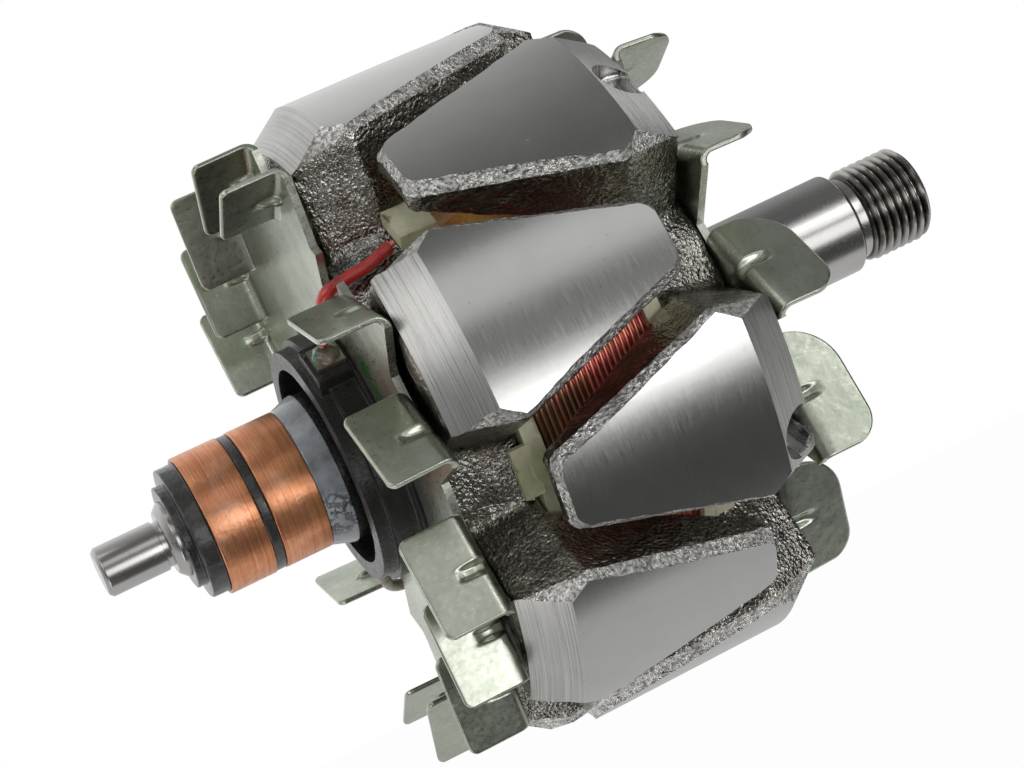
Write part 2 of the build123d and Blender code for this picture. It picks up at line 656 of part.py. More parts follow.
# Guard: a moulded cup against the rear pole, with a lug for each terminal
RIM_X = POLE_MIDDLE - GUARD_RIM_STATION
BEAD_X = POLE_MIDDLE - GUARD_BEAD_STATION
LUG_X = POLE_MIDDLE - LUG_STATION
CONDUCTOR_X = POLE_MIDDLE - CONDUCTOR_FACE
LUG_TOP = GUARD_BEAD_RADIUS + LUG_HEIGHT
with BuildPart() as guard_ring:
    with BuildSketch(Plane.XZ):
        with BuildLine():
            Polyline(
                (COLLAR_FRONT_X, RING_SEAT_RADIUS),
                (COLLAR_FRONT_X, GUARD_BOSS_RADIUS),
                (GUARD_FLOOR_X, GUARD_BOSS_RADIUS),
                (GUARD_FLOOR_X, GUARD_INNER_RADIUS),
                (RIM_X, GUARD_INNER_RADIUS),
                (RIM_X, GUARD_RADIUS),
                (BEAD_X, GUARD_RADIUS),
                (BEAD_X, GUARD_BEAD_RADIUS),
                (REAR_FACE - GUARD_FLANGE_LENGTH, GUARD_BEAD_RADIUS),
                (REAR_FACE - GUARD_FLANGE_LENGTH, REAR_FAN_HOLE_RADIUS - GUARD_FLANGE_GAP),
                (REAR_FACE, REAR_FAN_HOLE_RADIUS - GUARD_FLANGE_GAP),
                (REAR_FACE, RING_SEAT_RADIUS),
                close=True,
            )
        make_face()
    revolve(axis=Axis.X)
    for name, start_x, angle in CONDUCTORS:
        lug_y, lug_z = around(GUARD_BEAD_RADIUS, angle)
        with BuildSketch(Plane.YZ.offset(LUG_X)):
            with Locations((lug_y, lug_z)):
                Rectangle(2 * LUG_HEIGHT, LUG_WIDTH, rotation=angle)
        extrude(amount=REAR_FACE - LUG_X)
        conductor_cut(COLLAR_FRONT_X, CONDUCTOR_X + CONDUCTOR_THICKNESS, angle)
        radial = LUG_TOP - CONDUCTOR_INNER_RADIUS
        radial_y, radial_z = around(CONDUCTOR_INNER_RADIUS + radial / 2, angle)
        with BuildSketch(Plane.YZ.offset(CONDUCTOR_X)):
            with Locations((radial_y, radial_z)):
                Rectangle(radial, CONDUCTOR_WIDTH, rotation=angle)
        extrude(amount=CONDUCTOR_THICKNESS, mode=Mode.SUBTRACT)
save(guard_ring, "guard_ring")

# Flat copper conductors: a riser under the ring, an axial run and a radial run out to the terminal
for name, start_x, angle in CONDUCTORS:
    along_y, along_z = around(CONDUCTOR_INNER_RADIUS + CONDUCTOR_THICKNESS / 2, angle)
    riser = RISER_TOP - CONDUCTOR_INNER_RADIUS
    riser_y, riser_z = around(CONDUCTOR_INNER_RADIUS + riser / 2, angle)
    radial = LUG_TOP - CONDUCTOR_INNER_RADIUS
    radial_y, radial_z = around(CONDUCTOR_INNER_RADIUS + radial / 2, angle)
    with BuildPart() as conductor:
        with BuildSketch(Plane.YZ.offset(start_x)):
            with Locations((along_y, along_z)):
                Rectangle(CONDUCTOR_THICKNESS, CONDUCTOR_WIDTH, rotation=angle)
        extrude(amount=CONDUCTOR_X + CONDUCTOR_THICKNESS - start_x)
        with BuildSketch(Plane.YZ.offset(start_x)):
            with Locations((riser_y, riser_z)):
                Rectangle(riser, CONDUCTOR_WIDTH, rotation=angle)
        extrude(amount=CONDUCTOR_THICKNESS)
        with BuildSketch(Plane.YZ.offset(CONDUCTOR_X)):
            with Locations((radial_y, radial_z)):
                Rectangle(radial, CONDUCTOR_WIDTH, rotation=angle)
        extrude(amount=CONDUCTOR_THICKNESS)
    save(conductor, name)

# Terminals on the lugs, each with its bead of solder and varnish
LEADS = (("start", LEAD_ANGLE), ("finish", FINISH_LEAD_ANGLE))
TERMINAL_X = POLE_MIDDLE - TERMINAL_STATION
TERMINAL_TOP = LUG_TOP + TERMINAL_THICKNESS
BEAD_SPHERE = (BEAD_RADIUS**2 + BEAD_HEIGHT**2) / (2 * BEAD_HEIGHT)
for letter, angle in LEADS:
    plate_y, plate_z = around(LUG_TOP + TERMINAL_THICKNESS / 2, angle)
    with BuildPart() as terminal:
        with BuildSketch(Plane.YZ.offset(TERMINAL_X)):
            with Locations((plate_y, plate_z)):
                Rectangle(TERMINAL_THICKNESS, TERMINAL_WIDTH, rotation=angle)
        extrude(amount=TERMINAL_LENGTH)
    save(terminal, letter + "_terminal")
    middle_y, middle_z = around(TERMINAL_TOP + BEAD_HEIGHT - BEAD_SPHERE, angle)
    outward = Plane(
        origin=(TERMINAL_X + TERMINAL_LENGTH / 2, middle_y, middle_z),
        x_dir=(1, 0, 0),
        z_dir=(0, middle_y, middle_z),
    )
    with BuildPart() as bead:
        with Locations(outward):
            cap_start = degrees(asin((BEAD_SPHERE - BEAD_HEIGHT) / BEAD_SPHERE))
            Sphere(BEAD_SPHERE, arc_size1=cap_start, arc_size2=90, align=None)
    save(bead, letter + "_solder_bead")

# Leads from the bobbin tabs over the valley to the terminals, each in its sleeve


def valley_radius(station):
    """The radius of the valley floor at a distance from the pole middle."""
    share = (POLE_END - station) / (POLE_END - YOKE_INNER_FACE)
    return VALLEY_END_RADIUS + share * (VALLEY_INNER_RADIUS - VALLEY_END_RADIUS)


def lead_point(station, radius, angle):
    """A point of a lead's route, from its distance behind the pole middle, radius and angle."""
    y, z = around(radius, angle)
    return Vector(POLE_MIDDLE - station, y, z)


def lead_route(angle, bare_length):
    """The route of a lead at its angle, longer than its sleeve by the bare length at each end."""
    over_floor = SLEEVE_RADIUS + LEAD_FLOOR_GAP
    start_station = YOKE_INNER_FACE + TAB_REACH + SLEEVE_RADIUS
    bead_station = TERMINAL_STATION - TERMINAL_LENGTH / 2
    start = lead_point(start_station, valley_radius(start_station) + over_floor, angle - LEAD_START_OFFSET)
    valley = lead_point(LEAD_VALLEY_STATION, valley_radius(LEAD_VALLEY_STATION) + over_floor, angle)
    over_plate = lead_point(POLE_END + FAN_SHEET + over_floor, VALLEY_END_RADIUS + over_floor, angle)
    end = lead_point(bead_station, TERMINAL_TOP + BEAD_HEIGHT + SLEEVE_RADIUS, angle)
    start += (start - valley).normalized() * bare_length
    end += (end - over_plate).normalized() * bare_length
    return [start, valley, over_plate, end]


for letter, angle in LEADS:
    with BuildPart() as sleeve:
        with BuildLine() as path:
            FilletPolyline(*lead_route(angle, 0), radius=LEAD_BEND_RADIUS)
        with BuildSketch(Plane(origin=path.line @ 0, z_dir=path.line % 0)):
            Circle(SLEEVE_RADIUS)
            Circle(WIRE_RADIUS, mode=Mode.SUBTRACT)
        sweep()
    save(sleeve, letter + "_lead_sleeve")
    with BuildPart() as wire:
        with BuildLine() as path:
            FilletPolyline(*lead_route(angle, BARE_WIRE_LENGTH), radius=LEAD_BEND_RADIUS)
        with BuildSketch(Plane(origin=path.line @ 0, z_dir=path.line % 0)):
            Circle(WIRE_RADIUS)
        sweep()
    save(wire, letter + "_lead_wire")
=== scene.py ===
import math
import random
from dataclasses import dataclass

import bmesh
import bpy
import numpy as np
from mathutils import Matrix, Vector, noise
from mathutils.geometry import delaunay_2d_cdt

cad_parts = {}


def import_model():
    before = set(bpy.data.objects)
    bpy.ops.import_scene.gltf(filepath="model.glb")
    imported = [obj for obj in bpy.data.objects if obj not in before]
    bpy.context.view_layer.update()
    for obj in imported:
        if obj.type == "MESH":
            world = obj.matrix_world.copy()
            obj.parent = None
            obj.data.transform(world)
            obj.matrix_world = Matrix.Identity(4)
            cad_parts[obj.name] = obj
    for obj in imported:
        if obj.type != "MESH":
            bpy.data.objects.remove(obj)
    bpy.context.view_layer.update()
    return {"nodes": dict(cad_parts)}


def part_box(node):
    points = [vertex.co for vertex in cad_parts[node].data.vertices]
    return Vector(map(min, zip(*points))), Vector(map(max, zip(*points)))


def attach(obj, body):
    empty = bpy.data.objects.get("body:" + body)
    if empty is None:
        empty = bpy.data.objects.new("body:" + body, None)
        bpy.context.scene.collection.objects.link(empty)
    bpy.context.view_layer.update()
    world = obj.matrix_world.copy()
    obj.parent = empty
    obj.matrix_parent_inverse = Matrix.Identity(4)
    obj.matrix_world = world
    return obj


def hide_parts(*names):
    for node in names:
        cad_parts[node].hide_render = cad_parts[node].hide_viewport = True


# Claw-pole alternator rotor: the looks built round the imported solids.
# Sizes of the rotor are millimetres, and its meshes are scaled to metres as they are made.
# The stage and the lamps are in metres.
# X runs along the shaft towards the thread. Angles are about X, from +Y towards +Z.

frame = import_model()
bpy.context.scene.view_settings.view_transform = "Standard"
nodes = frame["nodes"]
MM = 0.001


def ends(node):
    """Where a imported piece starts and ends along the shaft."""
    low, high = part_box(node)
    return low.x / MM, high.x / MM


def top(node):
    """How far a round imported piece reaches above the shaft's middle line."""
    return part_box(node)[1].z / MM


# Driving dimensions read from the frame
SHAFT_REAR, SHAFT_FRONT = ends("shaft")
REAR_FACE = ends("rear_fan")[1]
FRONT_FACE = ends("front_fan")[0]
POLE_MIDDLE = (REAR_FACE + FRONT_FACE) / 2
POLE_END = FRONT_FACE - POLE_MIDDLE
RING_REAR_X, GAP_START_X = ends("outer_slip_ring")
GAP_END_X, RING_FRONT_X = ends("inner_slip_ring")
RING_RADIUS = top("inner_slip_ring")
COLLAR_FRONT_X = ends("ring_collar")[1]
COLLAR_RADIUS = top("ring_collar")
MOULDING_REAR_X = ends("slip_ring_moulding")[0]
WINDING_REAR_X, WINDING_FRONT_X = ends("field_coil")
WINDING_RADIUS = top("field_coil")
THREAD_RADIUS = top("shaft") - 1.0
LEAD_ANGLE = 141.3
FINISH_LEAD_ANGLE = LEAD_ANGLE + 180.0


def cylinder_point(x, radius, angle):
    """A point from its place along the shaft, its radius and its angle in degrees."""
    turn = math.radians(angle)
    return x, radius * math.cos(turn), radius * math.sin(turn)


# Meshes


def finish_piece(name, mesh, materials, node, indices=None, sharp=35.0):
    """Makes a mesh the piece that stands for a node, shaded smooth up to the sharp angle."""
    for material in materials:
        mesh.materials.append(material)
    if indices is not None:
        mesh.polygons.foreach_set("material_index", indices)
    work = bmesh.new()
    work.from_mesh(mesh)
    bmesh.ops.recalc_face_normals(work, faces=work.faces)
    work.to_mesh(mesh)
    work.free()
    mesh.shade_smooth()
    mesh.set_sharp_from_angle(angle=math.radians(sharp))
    part_materials(mesh)
    obj = bpy.data.objects.new(name, mesh)
    bpy.context.scene.collection.objects.link(obj)
    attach(obj, "root")
    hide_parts(node)


def part_materials(mesh):
    """Makes the borders between two materials sharp, so that the shading does not run across them."""
    work = bmesh.new()
    work.from_mesh(mesh)
    for edge in work.edges:
        if len({face.material_index for face in edge.link_faces}) > 1:
            edge.smooth = False
    work.to_mesh(mesh)
    work.free()


def piece(name, points, faces, materials, node, indices=None, sharp=35.0):
    """Makes a piece from points in millimetres and faces."""
    mesh = bpy.data.meshes.new(name)
    mesh.from_pydata([Vector(point) * MM for point in points], [], faces)
    finish_piece(name, mesh, materials, node, indices, sharp)


def rounded(profile, radius, steps=3):
    """The same profile with each inner corner rounded by at most the given radius."""
    points = [Vector(point) for point in profile]
    result = [points[0]]
    for before, corner, after in zip(points, points[1:], points[2:]):
        into, out = before - corner, after - corner
        reach = min(radius, into.length * 0.45, out.length * 0.45)
        if reach < 0.01 or into.angle(out) > math.radians(170):
            result.append(corner)
            continue
        start, end = corner + into.normalized() * reach, corner + out.normalized() * reach
        for step in range(steps + 1):
            share = step / steps
            result.append(start.lerp(corner, share).lerp(corner.lerp(end, share), share))
    result.append(points[-1])
    return result


def ring_quads(first, second, count):
    """Quads between two rings of points, each given by the number of its first point."""
    return [(first + k, first + (k + 1) % count, second + (k + 1) % count, second + k) for k in range(count)]


def lathe_points(profile, segments, radius_at=None):
    """Points and quads of a profile (x, radius) turned about the shaft."""
    points, faces = [], []
    for x, radius in profile:
        for k in range(segments):
            angle = 360 * k / segments
            here = radius if radius_at is None else radius_at(x, radius, angle)
            points.append(cylinder_point(x, here, angle))
    for row in range(len(profile) - 1):
        faces.extend(ring_quads(row * segments, (row + 1) * segments, segments))
    return points, faces


def closed_lathe(name, node, material, profile, segments=128, radius_at=None, corner=0.15):
    """A turned piece whose profile is a closed loop, with its corners rounded a little."""
    seam = (Vector(profile[0]) + Vector(profile[-1])) / 2
    loop = rounded([seam, *profile, seam], corner)[:-1]
    points, faces = lathe_points(loop, segments, radius_at)
    faces.extend(ring_quads((len(loop) - 1) * segments, 0, segments))
    piece(name, points, faces, [material], node)


def join_lists(parts):
    """Joins several (points, faces) lists into one."""
    points, faces = [], []
    for more_points, more_faces in parts:
        shift = len(points)
        points.extend(more_points)
        faces.extend(tuple(index + shift for index in face) for face in more_faces)
    return points, faces


def tube(path, radius, sides):
    """Points and faces of a closed tube along a path."""
    path = [Vector(point) for point in path]
    points, faces = [], []
    normal = (path[1] - path[0]).normalized().orthogonal().normalized()
    for k, here in enumerate(path):
        ahead = (path[min(k + 1, len(path) - 1)] - path[max(k - 1, 0)]).normalized()
        normal = (normal - ahead * normal.dot(ahead)).normalized()
        side = ahead.cross(normal)
        for s in range(sides):
            turn = 2 * math.pi * s / sides
            points.append(tuple(here + (normal * math.cos(turn) + side * math.sin(turn)) * radius))
    last = (len(path) - 1) * sides
    for first in range(0, last, sides):
        faces.extend(ring_quads(first, first + sides, sides))
    faces.append(tuple(range(sides)))
    faces.append(tuple(last + s for s in range(sides)))
    return points, faces


def sheet_faces(columns, rows):
    """Quads of a thin sheet: its two sides, then the rims at its first and last row, then the other two."""
    stride, side = rows + 1, (columns + 1) * (rows + 1)
    faces = []
    for shift in (0, side):
        for column in range(columns):
            for row in range(rows):
                a = shift + column * stride + row
                faces.append((a, a + 1, a + stride + 1, a + stride))
    for column in range(columns):
        for row in (0, rows):
            a = column * stride + row
            faces.append((a, a + stride, a + stride + side, a + side))
    for row in range(rows):
        for column in (0, columns):
            a = column * stride + row
            faces.append((a, a + 1, a + 1 + side, a + side))
    return faces


def refine(work, cell, inner_radius):
    """Cuts the edges longer than a cell, outside an inner radius, in a few rounds."""
    for _ in range(7):
        longer = [
            edge for edge in work.edges
            if edge.calc_length() > cell * MM
            and max(math.hypot(v.co.y, v.co.z) for v in edge.verts) > inner_radius * MM
        ]
        if not longer:
            break
        bmesh.ops.subdivide_edges(work, edges=longer, cuts=1)
        bmesh.ops.triangulate(work, faces=[face for face in work.faces if len(face.verts) > 3])


def packed_mesh(node):
    """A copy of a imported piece's mesh to work on, with its points joined."""
    work = bmesh.new()
    work.from_mesh(nodes[node].data)
    bmesh.ops.remove_doubles(work, verts=work.verts, dist=2e-6)
    return work


# Materials


class Graph:
    """The node tree of a new material, or of the world, with short calls to add nodes."""

    def __init__(self, name, library=bpy.data.materials):
        self.owner = library.new(name)
        self.owner.use_nodes = True
        self.tree = self.owner.node_tree
        self.shader = self.tree.nodes.get("Principled BSDF")

    def add(self, kind, inputs=(), **settings):
        made = self.tree.nodes.new(kind)
        for key, value in settings.items():
            setattr(made, key, value)
        for key, value in dict(inputs).items():
            self.feed(made.inputs[key], value)
        return made

    def feed(self, socket, value):
        if isinstance(value, bpy.types.NodeSocket):
            self.tree.links.new(value, socket)
        else:
            socket.default_value = value

    def maths(self, operation, *values):
        return self.add("ShaderNodeMath", dict(enumerate(values)), operation=operation).outputs[0]

    def times(self, first, *others):
        """The product of its values."""
        for other in others:
            first = self.maths("MULTIPLY", first, other)
        return first

    def spread(self, value, low, high, out_low=0.0, out_high=1.0):
        """How far a value is from low to high, given out between two others and never past them."""
        entries = dict(enumerate((value, low, high, out_low, out_high)))
        return self.add("ShaderNodeMapRange", entries).outputs[0]

    def mix(self, factor, first, second):
        return self.add("ShaderNodeMix", {0: factor, 6: first, 7: second}, data_type="RGBA").outputs[2]

    def place(self):
        """Millimetres in the rotor's frame."""
        metres = self.add("ShaderNodeTexCoord").outputs["Object"]
        return self.add("ShaderNodeVectorMath", {0: metres, 1: (1 / MM,) * 3}, operation="MULTIPLY").outputs[0]

    def parts(self, vector):
        return self.add("ShaderNodeSeparateXYZ", {0: vector}).outputs

    def wrapped(self, along, around):
        """Place as (along the shaft, round it), each times its factor; the seam faces away."""
        x, y, z = self.parts(self.place())
        turn = self.maths("ARCTAN2", self.times(z, -1.0), self.times(y, -1.0))
        unrolled = {0: self.times(x, along), 1: self.times(turn, around)}
        return self.add("ShaderNodeCombineXYZ", unrolled).outputs[0]

    def cloud(self, vector, scale, detail=3.0, rough=0.5):
        entries = {"Vector": vector, "Scale": scale, "Detail": detail, "Roughness": rough}
        return self.add("ShaderNodeTexNoise", entries).outputs[0]

    def near(self, spot, full, none):
        """1 within a distance of a spot in millimetres, falling to 0 at another."""
        gap = self.add("ShaderNodeVectorMath", {0: self.place(), 1: spot}, operation="DISTANCE")
        return self.spread(gap.outputs["Value"], full, none, 1.0, 0.0)

    def raised(self, *heights):
        """Chains bumps: each height is (socket, distance in millimetres, strength)."""
        normal = None
        for height, distance, strength in heights:
            inputs = {"Height": height, "Distance": distance * MM, "Strength": strength}
            if normal is not None:
                inputs["Normal"] = normal
            normal = self.add("ShaderNodeBump", inputs).outputs[0]
        self.feed(self.shader.inputs["Normal"], normal)

    def surface(self, colour, tone, rough, metallic=0.0, coat=0.0):
        """Feeds the shader; the roughness runs between its two values as the tone rises."""
        self.feed(self.shader.inputs["Base Color"], colour)
        self.feed(self.shader.inputs["Roughness"], self.spread(tone, 0.3, 0.7, *rough))
        self.shader.inputs["Metallic"].default_value = metallic
        self.shader.inputs["Coat Weight"].default_value = coat
        return self.owner


# Where single marks lie on the rotor
PAINT_SMEAR = (-27.75, -25.6, 9.8)
PAINT_RUN = (-27.75, -26.0, 6.0)
VARNISH_FILM = (-9.0, -35.3, -9.6)
PAINT_DOT = (-32.4, -17.4, 14.6)
SCUFFS = (-38.2, -9.4, -8.2)


def rgb(red, green, blue):
    return red, green, blue, 1.0


def turned_steel(
    name, dark, bright, along=6.0, around=14.0, groove=0.006, rough=(0.27, 0.35), contrast=0.5, pits=0.3
):
    """Lathe-turned metal: fine marks run round the shaft, over faint patches and a few dark specks."""
    graph = Graph(name)
    marks = graph.cloud(graph.wrapped(along, around), 1.0, 3.0, 0.6)
    patches = graph.cloud(graph.place(), 0.12, 4.0, 0.6)
    tone = graph.maths("ADD", graph.times(marks, contrast), graph.times(patches, 1 - contrast))
    colour = graph.mix(graph.spread(tone, 0.3, 0.7), dark, bright)
    cells = graph.add("ShaderNodeTexVoronoi", {"Vector": graph.place(), "Scale": 0.45}).outputs[0]
    colour = graph.mix(graph.spread(cells, 0.0, 0.10, 1 - pits, 1.0), rgb(0.06, 0.055, 0.05), colour)
    graph.raised((marks, groove, 0.7), (patches, 0.10, 0.15))
    return graph.surface(colour, marks, rough, metallic=1.0)


def forged_skin():
    """Dark scaled forging, grainy and slightly shiny, with paler worn grains and brown stains."""
    graph = Graph("forged_skin")
    place = graph.place()
    grains = graph.cloud(place, 1.9, 1.5, 0.45)
    fine = graph.cloud(place, 4.0, 3.0, 0.5)
    lumps = graph.cloud(place, 0.4, 3.0, 0.55)
    stain = graph.cloud(place, 0.09, 5.0, 0.6)
    colour = graph.mix(graph.spread(grains, 0.35, 0.66), rgb(0.20, 0.19, 0.168), rgb(0.44, 0.43, 0.40))
    colour = graph.mix(graph.spread(stain, 0.46, 0.62, 0.0, 0.6), colour, rgb(0.18, 0.155, 0.12))
    rubbed = graph.spread(graph.cloud(place, 0.2, 4.0, 0.6), 0.52, 0.66, 0.0, 0.55)
    colour = graph.mix(rubbed, colour, rgb(0.62, 0.61, 0.58))
    graph.raised((lumps, 0.9, 0.5), (grains, 0.44, 0.62), (fine, 0.04, 0.3))
    return graph.surface(colour, stain, (0.15, 0.28), metallic=1.0)


def rubbed_bevel():
    """The bevel round a turned face: a rubbed edge of the forging, brighter and coarse."""
    graph = Graph("rubbed_bevel")
    place = graph.place()
    grains = graph.cloud(place, 1.7, 3.0, 0.6)
    wear = graph.cloud(place, 0.22, 3.0, 0.5)
    lumps = graph.cloud(place, 0.6, 3.0, 0.6)
    colour = graph.mix(graph.spread(grains, 0.36, 0.60), rgb(0.34, 0.33, 0.31), rgb(0.93, 0.92, 0.89))
    colour = graph.mix(graph.spread(wear, 0.5, 0.65, 0.0, 0.45), colour, rgb(0.12, 0.11, 0.10))
    graph.raised((lumps, 0.5, 0.7), (grains, 0.8, 0.9))
    return graph.surface(colour, wear, (0.20, 0.36), metallic=1.0)


def cut_thread(crest_radius):
    """The thread: steel on the crests, and roots painted near black as shade in the grooves."""
    graph = Graph("thread_steel")
    _, y, z = graph.parts(graph.place())
    radius = graph.maths("SQRT", graph.maths("ADD", graph.times(y, y), graph.times(z, z)))
    fine = graph.cloud(graph.wrapped(5.0, 3.0), 1.0, 3.0, 0.6)
    metal = graph.mix(graph.spread(fine, 0.35, 0.65), rgb(0.36, 0.345, 0.33), rgb(0.5, 0.485, 0.465))
    # Painted shade: the colour falls to near black towards the roots of the thread, darker the deeper into the
    # groove.
    unshaded_crest = graph.spread(radius, crest_radius - 0.85, crest_radius - 0.25)
    colour = graph.mix(unshaded_crest, rgb(0.05, 0.044, 0.038), metal)
    graph.raised((fine, 0.02, 0.5))
    return graph.surface(colour, fine, (0.15, 0.26), metallic=1.0)


def zinc(name, dark, bright, rough):
    """Dull zinc plate with a green tint, rubbed, scratched and a little stained."""
    graph = Graph(name)
    place = graph.place()
    fine = graph.cloud(place, 1.3, 4.0, 0.6)
    stain = graph.cloud(place, 0.07, 5.0, 0.6)
    colour = graph.mix(graph.spread(stain, 0.35, 0.65), dark, bright)
    colour = graph.mix(graph.spread(fine, 0.62, 0.8, 0.0, 0.3), colour, rgb(0.22, 0.22, 0.19))
    rotation, stretch = (0.6, 0.3, 0.9), (0.15, 2.2, 1.2)
    drawn = graph.add("ShaderNodeMapping", {"Vector": place, "Rotation": rotation, "Scale": stretch})
    scratch = graph.cloud(drawn.outputs[0], 1.6, 2.0, 0.6)
    colour = graph.mix(graph.spread(scratch, 0.66, 0.72, 0.0, 0.5), colour, rgb(0.66, 0.68, 0.61))
    # Green marking paint wiped on the slip-ring end's plate
    smear = graph.maths("MAXIMUM", graph.near(PAINT_SMEAR, 0.6, 2.8), graph.near(PAINT_RUN, 0.2, 2.6))
    smear = graph.times(smear, graph.spread(graph.cloud(place, 0.6, 4.0, 0.6), 0.15, 0.45))
    colour = graph.mix(smear, colour, rgb(0.09, 0.50, 0.08))
    graph.raised((fine, 0.025, 0.3), (graph.cloud(place, 0.25), 0.5, 0.22))
    return graph.surface(colour, fine, rough, metallic=1.0)


def copper_track():
    """Slip-ring copper: satin, with streaks worn by the brushes."""
    graph = Graph("copper_track")
    streaks = graph.cloud(graph.wrapped(3.2, 0.5), 1.0, 5.0, 0.7)
    fine = graph.cloud(graph.wrapped(9.0, 2.0), 1.0, 3.0, 0.7)
    patches = graph.cloud(graph.place(), 0.22, 4.0, 0.6)
    colour = graph.mix(graph.spread(streaks, 0.35, 0.65), rgb(0.53, 0.195, 0.09), rgb(0.80, 0.37, 0.20))
    colour = graph.mix(graph.spread(patches, 0.52, 0.7, 0.0, 0.45), colour, rgb(0.88, 0.52, 0.36))
    graph.raised((streaks, 0.04, 0.6), (fine, 0.03, 0.6), (patches, 0.4, 0.4))
    return graph.surface(colour, fine, (0.27, 0.42), metallic=1.0)


def moulded(name, dark, bright, rough, coat=0.0, scale=1.0, marks=None):
    """Moulded resin or plastic with soft unevenness; marks are thin lines round one spot."""
    graph = Graph(name)
    place = graph.place()
    patches = graph.cloud(place, 0.16 * scale, 4.0, 0.6)
    fine = graph.cloud(place, 1.8 * scale, 4.0, 0.6)
    colour = graph.mix(graph.spread(patches, 0.36, 0.64), dark, bright)
    colour = graph.mix(graph.spread(fine, 0.6, 0.75, 0.0, 0.5), colour, dark)
    if marks:
        spot, reach, paint, line_scale = marks
        swing = graph.maths("SUBTRACT", graph.cloud(place, line_scale, 5.0, 0.7), 0.5)
        lines = graph.spread(graph.maths("ABSOLUTE", swing), 0.02, 0.05, 1.0, 0.0)
        colour = graph.mix(graph.times(lines, graph.near(spot, reach * 0.6, reach)), colour, paint)
    graph.raised((patches, 0.5, 0.3), (fine, 0.25, 0.35))
    return graph.surface(colour, fine, rough, coat=coat)


def enamel():
    """Dark red wire enamel, brighter where the turns are rubbed and brown with varnish in places."""
    graph = Graph("wire_enamel")
    fine = graph.cloud(graph.wrapped(1.1, 14.0), 1.0, 3.0, 0.6)
    varnish = graph.cloud(graph.place(), 0.1, 4.0, 0.6)
    colour = graph.mix(graph.spread(fine, 0.35, 0.7), rgb(0.60, 0.08, 0.06), rgb(0.98, 0.32, 0.24))
    colour = graph.mix(graph.spread(varnish, 0.5, 0.62, 0.0, 0.8), colour, rgb(0.30, 0.13, 0.05))
    film = graph.times(graph.near(VARNISH_FILM, 4.5, 8.5), graph.spread(varnish, 0.3, 0.5))
    colour = graph.mix(film, colour, rgb(0.34, 0.17, 0.09))
    graph.raised((fine, 0.06, 0.3))
    return graph.surface(colour, fine, (0.13, 0.24), metallic=0.65, coat=1.0)


def amber_varnish():
    """Tape soaked with amber varnish, which stands in pools on its weave."""
    graph = Graph("amber_varnish")
    weave = graph.cloud(graph.wrapped(1.6, 60.0), 1.0, 2.0, 0.5)
    pools = graph.cloud(graph.place(), 0.22, 4.0, 0.6)
    colour = graph.mix(graph.spread(pools, 0.35, 0.62), rgb(0.74, 0.24, 0.05), rgb(1.0, 0.56, 0.15))
    graph.raised((weave, 0.12, 0.5), (pools, 0.8, 0.5))
    return graph.surface(colour, pools, (0.16, 0.35), coat=0.8)


turned_face = turned_steel(
    "turned_face", rgb(0.395, 0.395, 0.385), rgb(0.455, 0.455, 0.44), rough=(0.2, 0.27)
)
turned_cone = turned_steel(
    "turned_cone", rgb(0.25, 0.245, 0.23), rgb(0.58, 0.575, 0.56),
    along=5.0, around=1.2, groove=0.08, rough=(0.24, 0.38), contrast=0.8, pits=0.7,
)
ground_shaft = turned_steel("ground_shaft", rgb(0.42, 0.41, 0.405), rgb(0.5, 0.49, 0.48), rough=(0.2, 0.28))
thread_steel = cut_thread(THREAD_RADIUS)
drilled_steel = turned_steel(
    "drilled_steel", rgb(0.20, 0.195, 0.19), rgb(0.74, 0.735, 0.73),
    along=0.9, around=3.0, groove=0.5, rough=(0.2, 0.32), contrast=0.7, pits=0.5,
)
forging = forged_skin()
bevel_metal = rubbed_bevel()
fan_zinc = zinc("fan_zinc", rgb(0.35, 0.38, 0.31), rgb(0.51, 0.54, 0.455), (0.25, 0.38))
cut_edge = zinc("cut_edge", rgb(0.40, 0.42, 0.36), rgb(0.60, 0.62, 0.55), (0.22, 0.34))
copper = copper_track()
black_resin = moulded(
    "black_resin", rgb(0.012, 0.012, 0.012), rgb(0.04, 0.038, 0.036), (0.22, 0.4), coat=0.3
)
guard_black = moulded("guard_black", rgb(0.004, 0.004, 0.004), rgb(0.017, 0.016, 0.015), (0.22, 0.42))
collar_resin = moulded(
    "collar_resin", rgb(0.14, 0.155, 0.17), rgb(0.35, 0.38, 0.41), (0.12, 0.3), coat=0.5,
    marks=(SCUFFS, 5.6, rgb(0.02, 0.025, 0.03), 0.3),
)
cream_nylon = moulded("cream_nylon", rgb(0.55, 0.54, 0.33), rgb(0.78, 0.77, 0.56), (0.28, 0.45), coat=0.2)
wire_enamel = enamel()
tape_varnish = amber_varnish()
red_sleeve = moulded(
    "red_sleeve", rgb(0.36, 0.008, 0.006), rgb(0.62, 0.02, 0.014), (0.14, 0.3), coat=0.8, scale=2.0
)
ivory_sleeve = moulded(
    "ivory_sleeve", rgb(0.20, 0.19, 0.12), rgb(0.55, 0.51, 0.38), (0.25, 0.45), coat=0.3, scale=2.0
)
solder = moulded(
    "solder_varnish", rgb(0.03, 0.024, 0.018), rgb(0.22, 0.17, 0.12), (0.16, 0.34), coat=0.8, scale=3.0,
    marks=(PAINT_DOT, 2.2, rgb(0.01, 0.22, 0.09), 0.2),
)
conductor = turned_steel("conductor_copper", rgb(0.5, 0.24, 0.14), rgb(0.75, 0.42, 0.28))
tinned = turned_steel("tinned_plate", rgb(0.34, 0.31, 0.25), rgb(0.6, 0.56, 0.47))


# Pole pieces

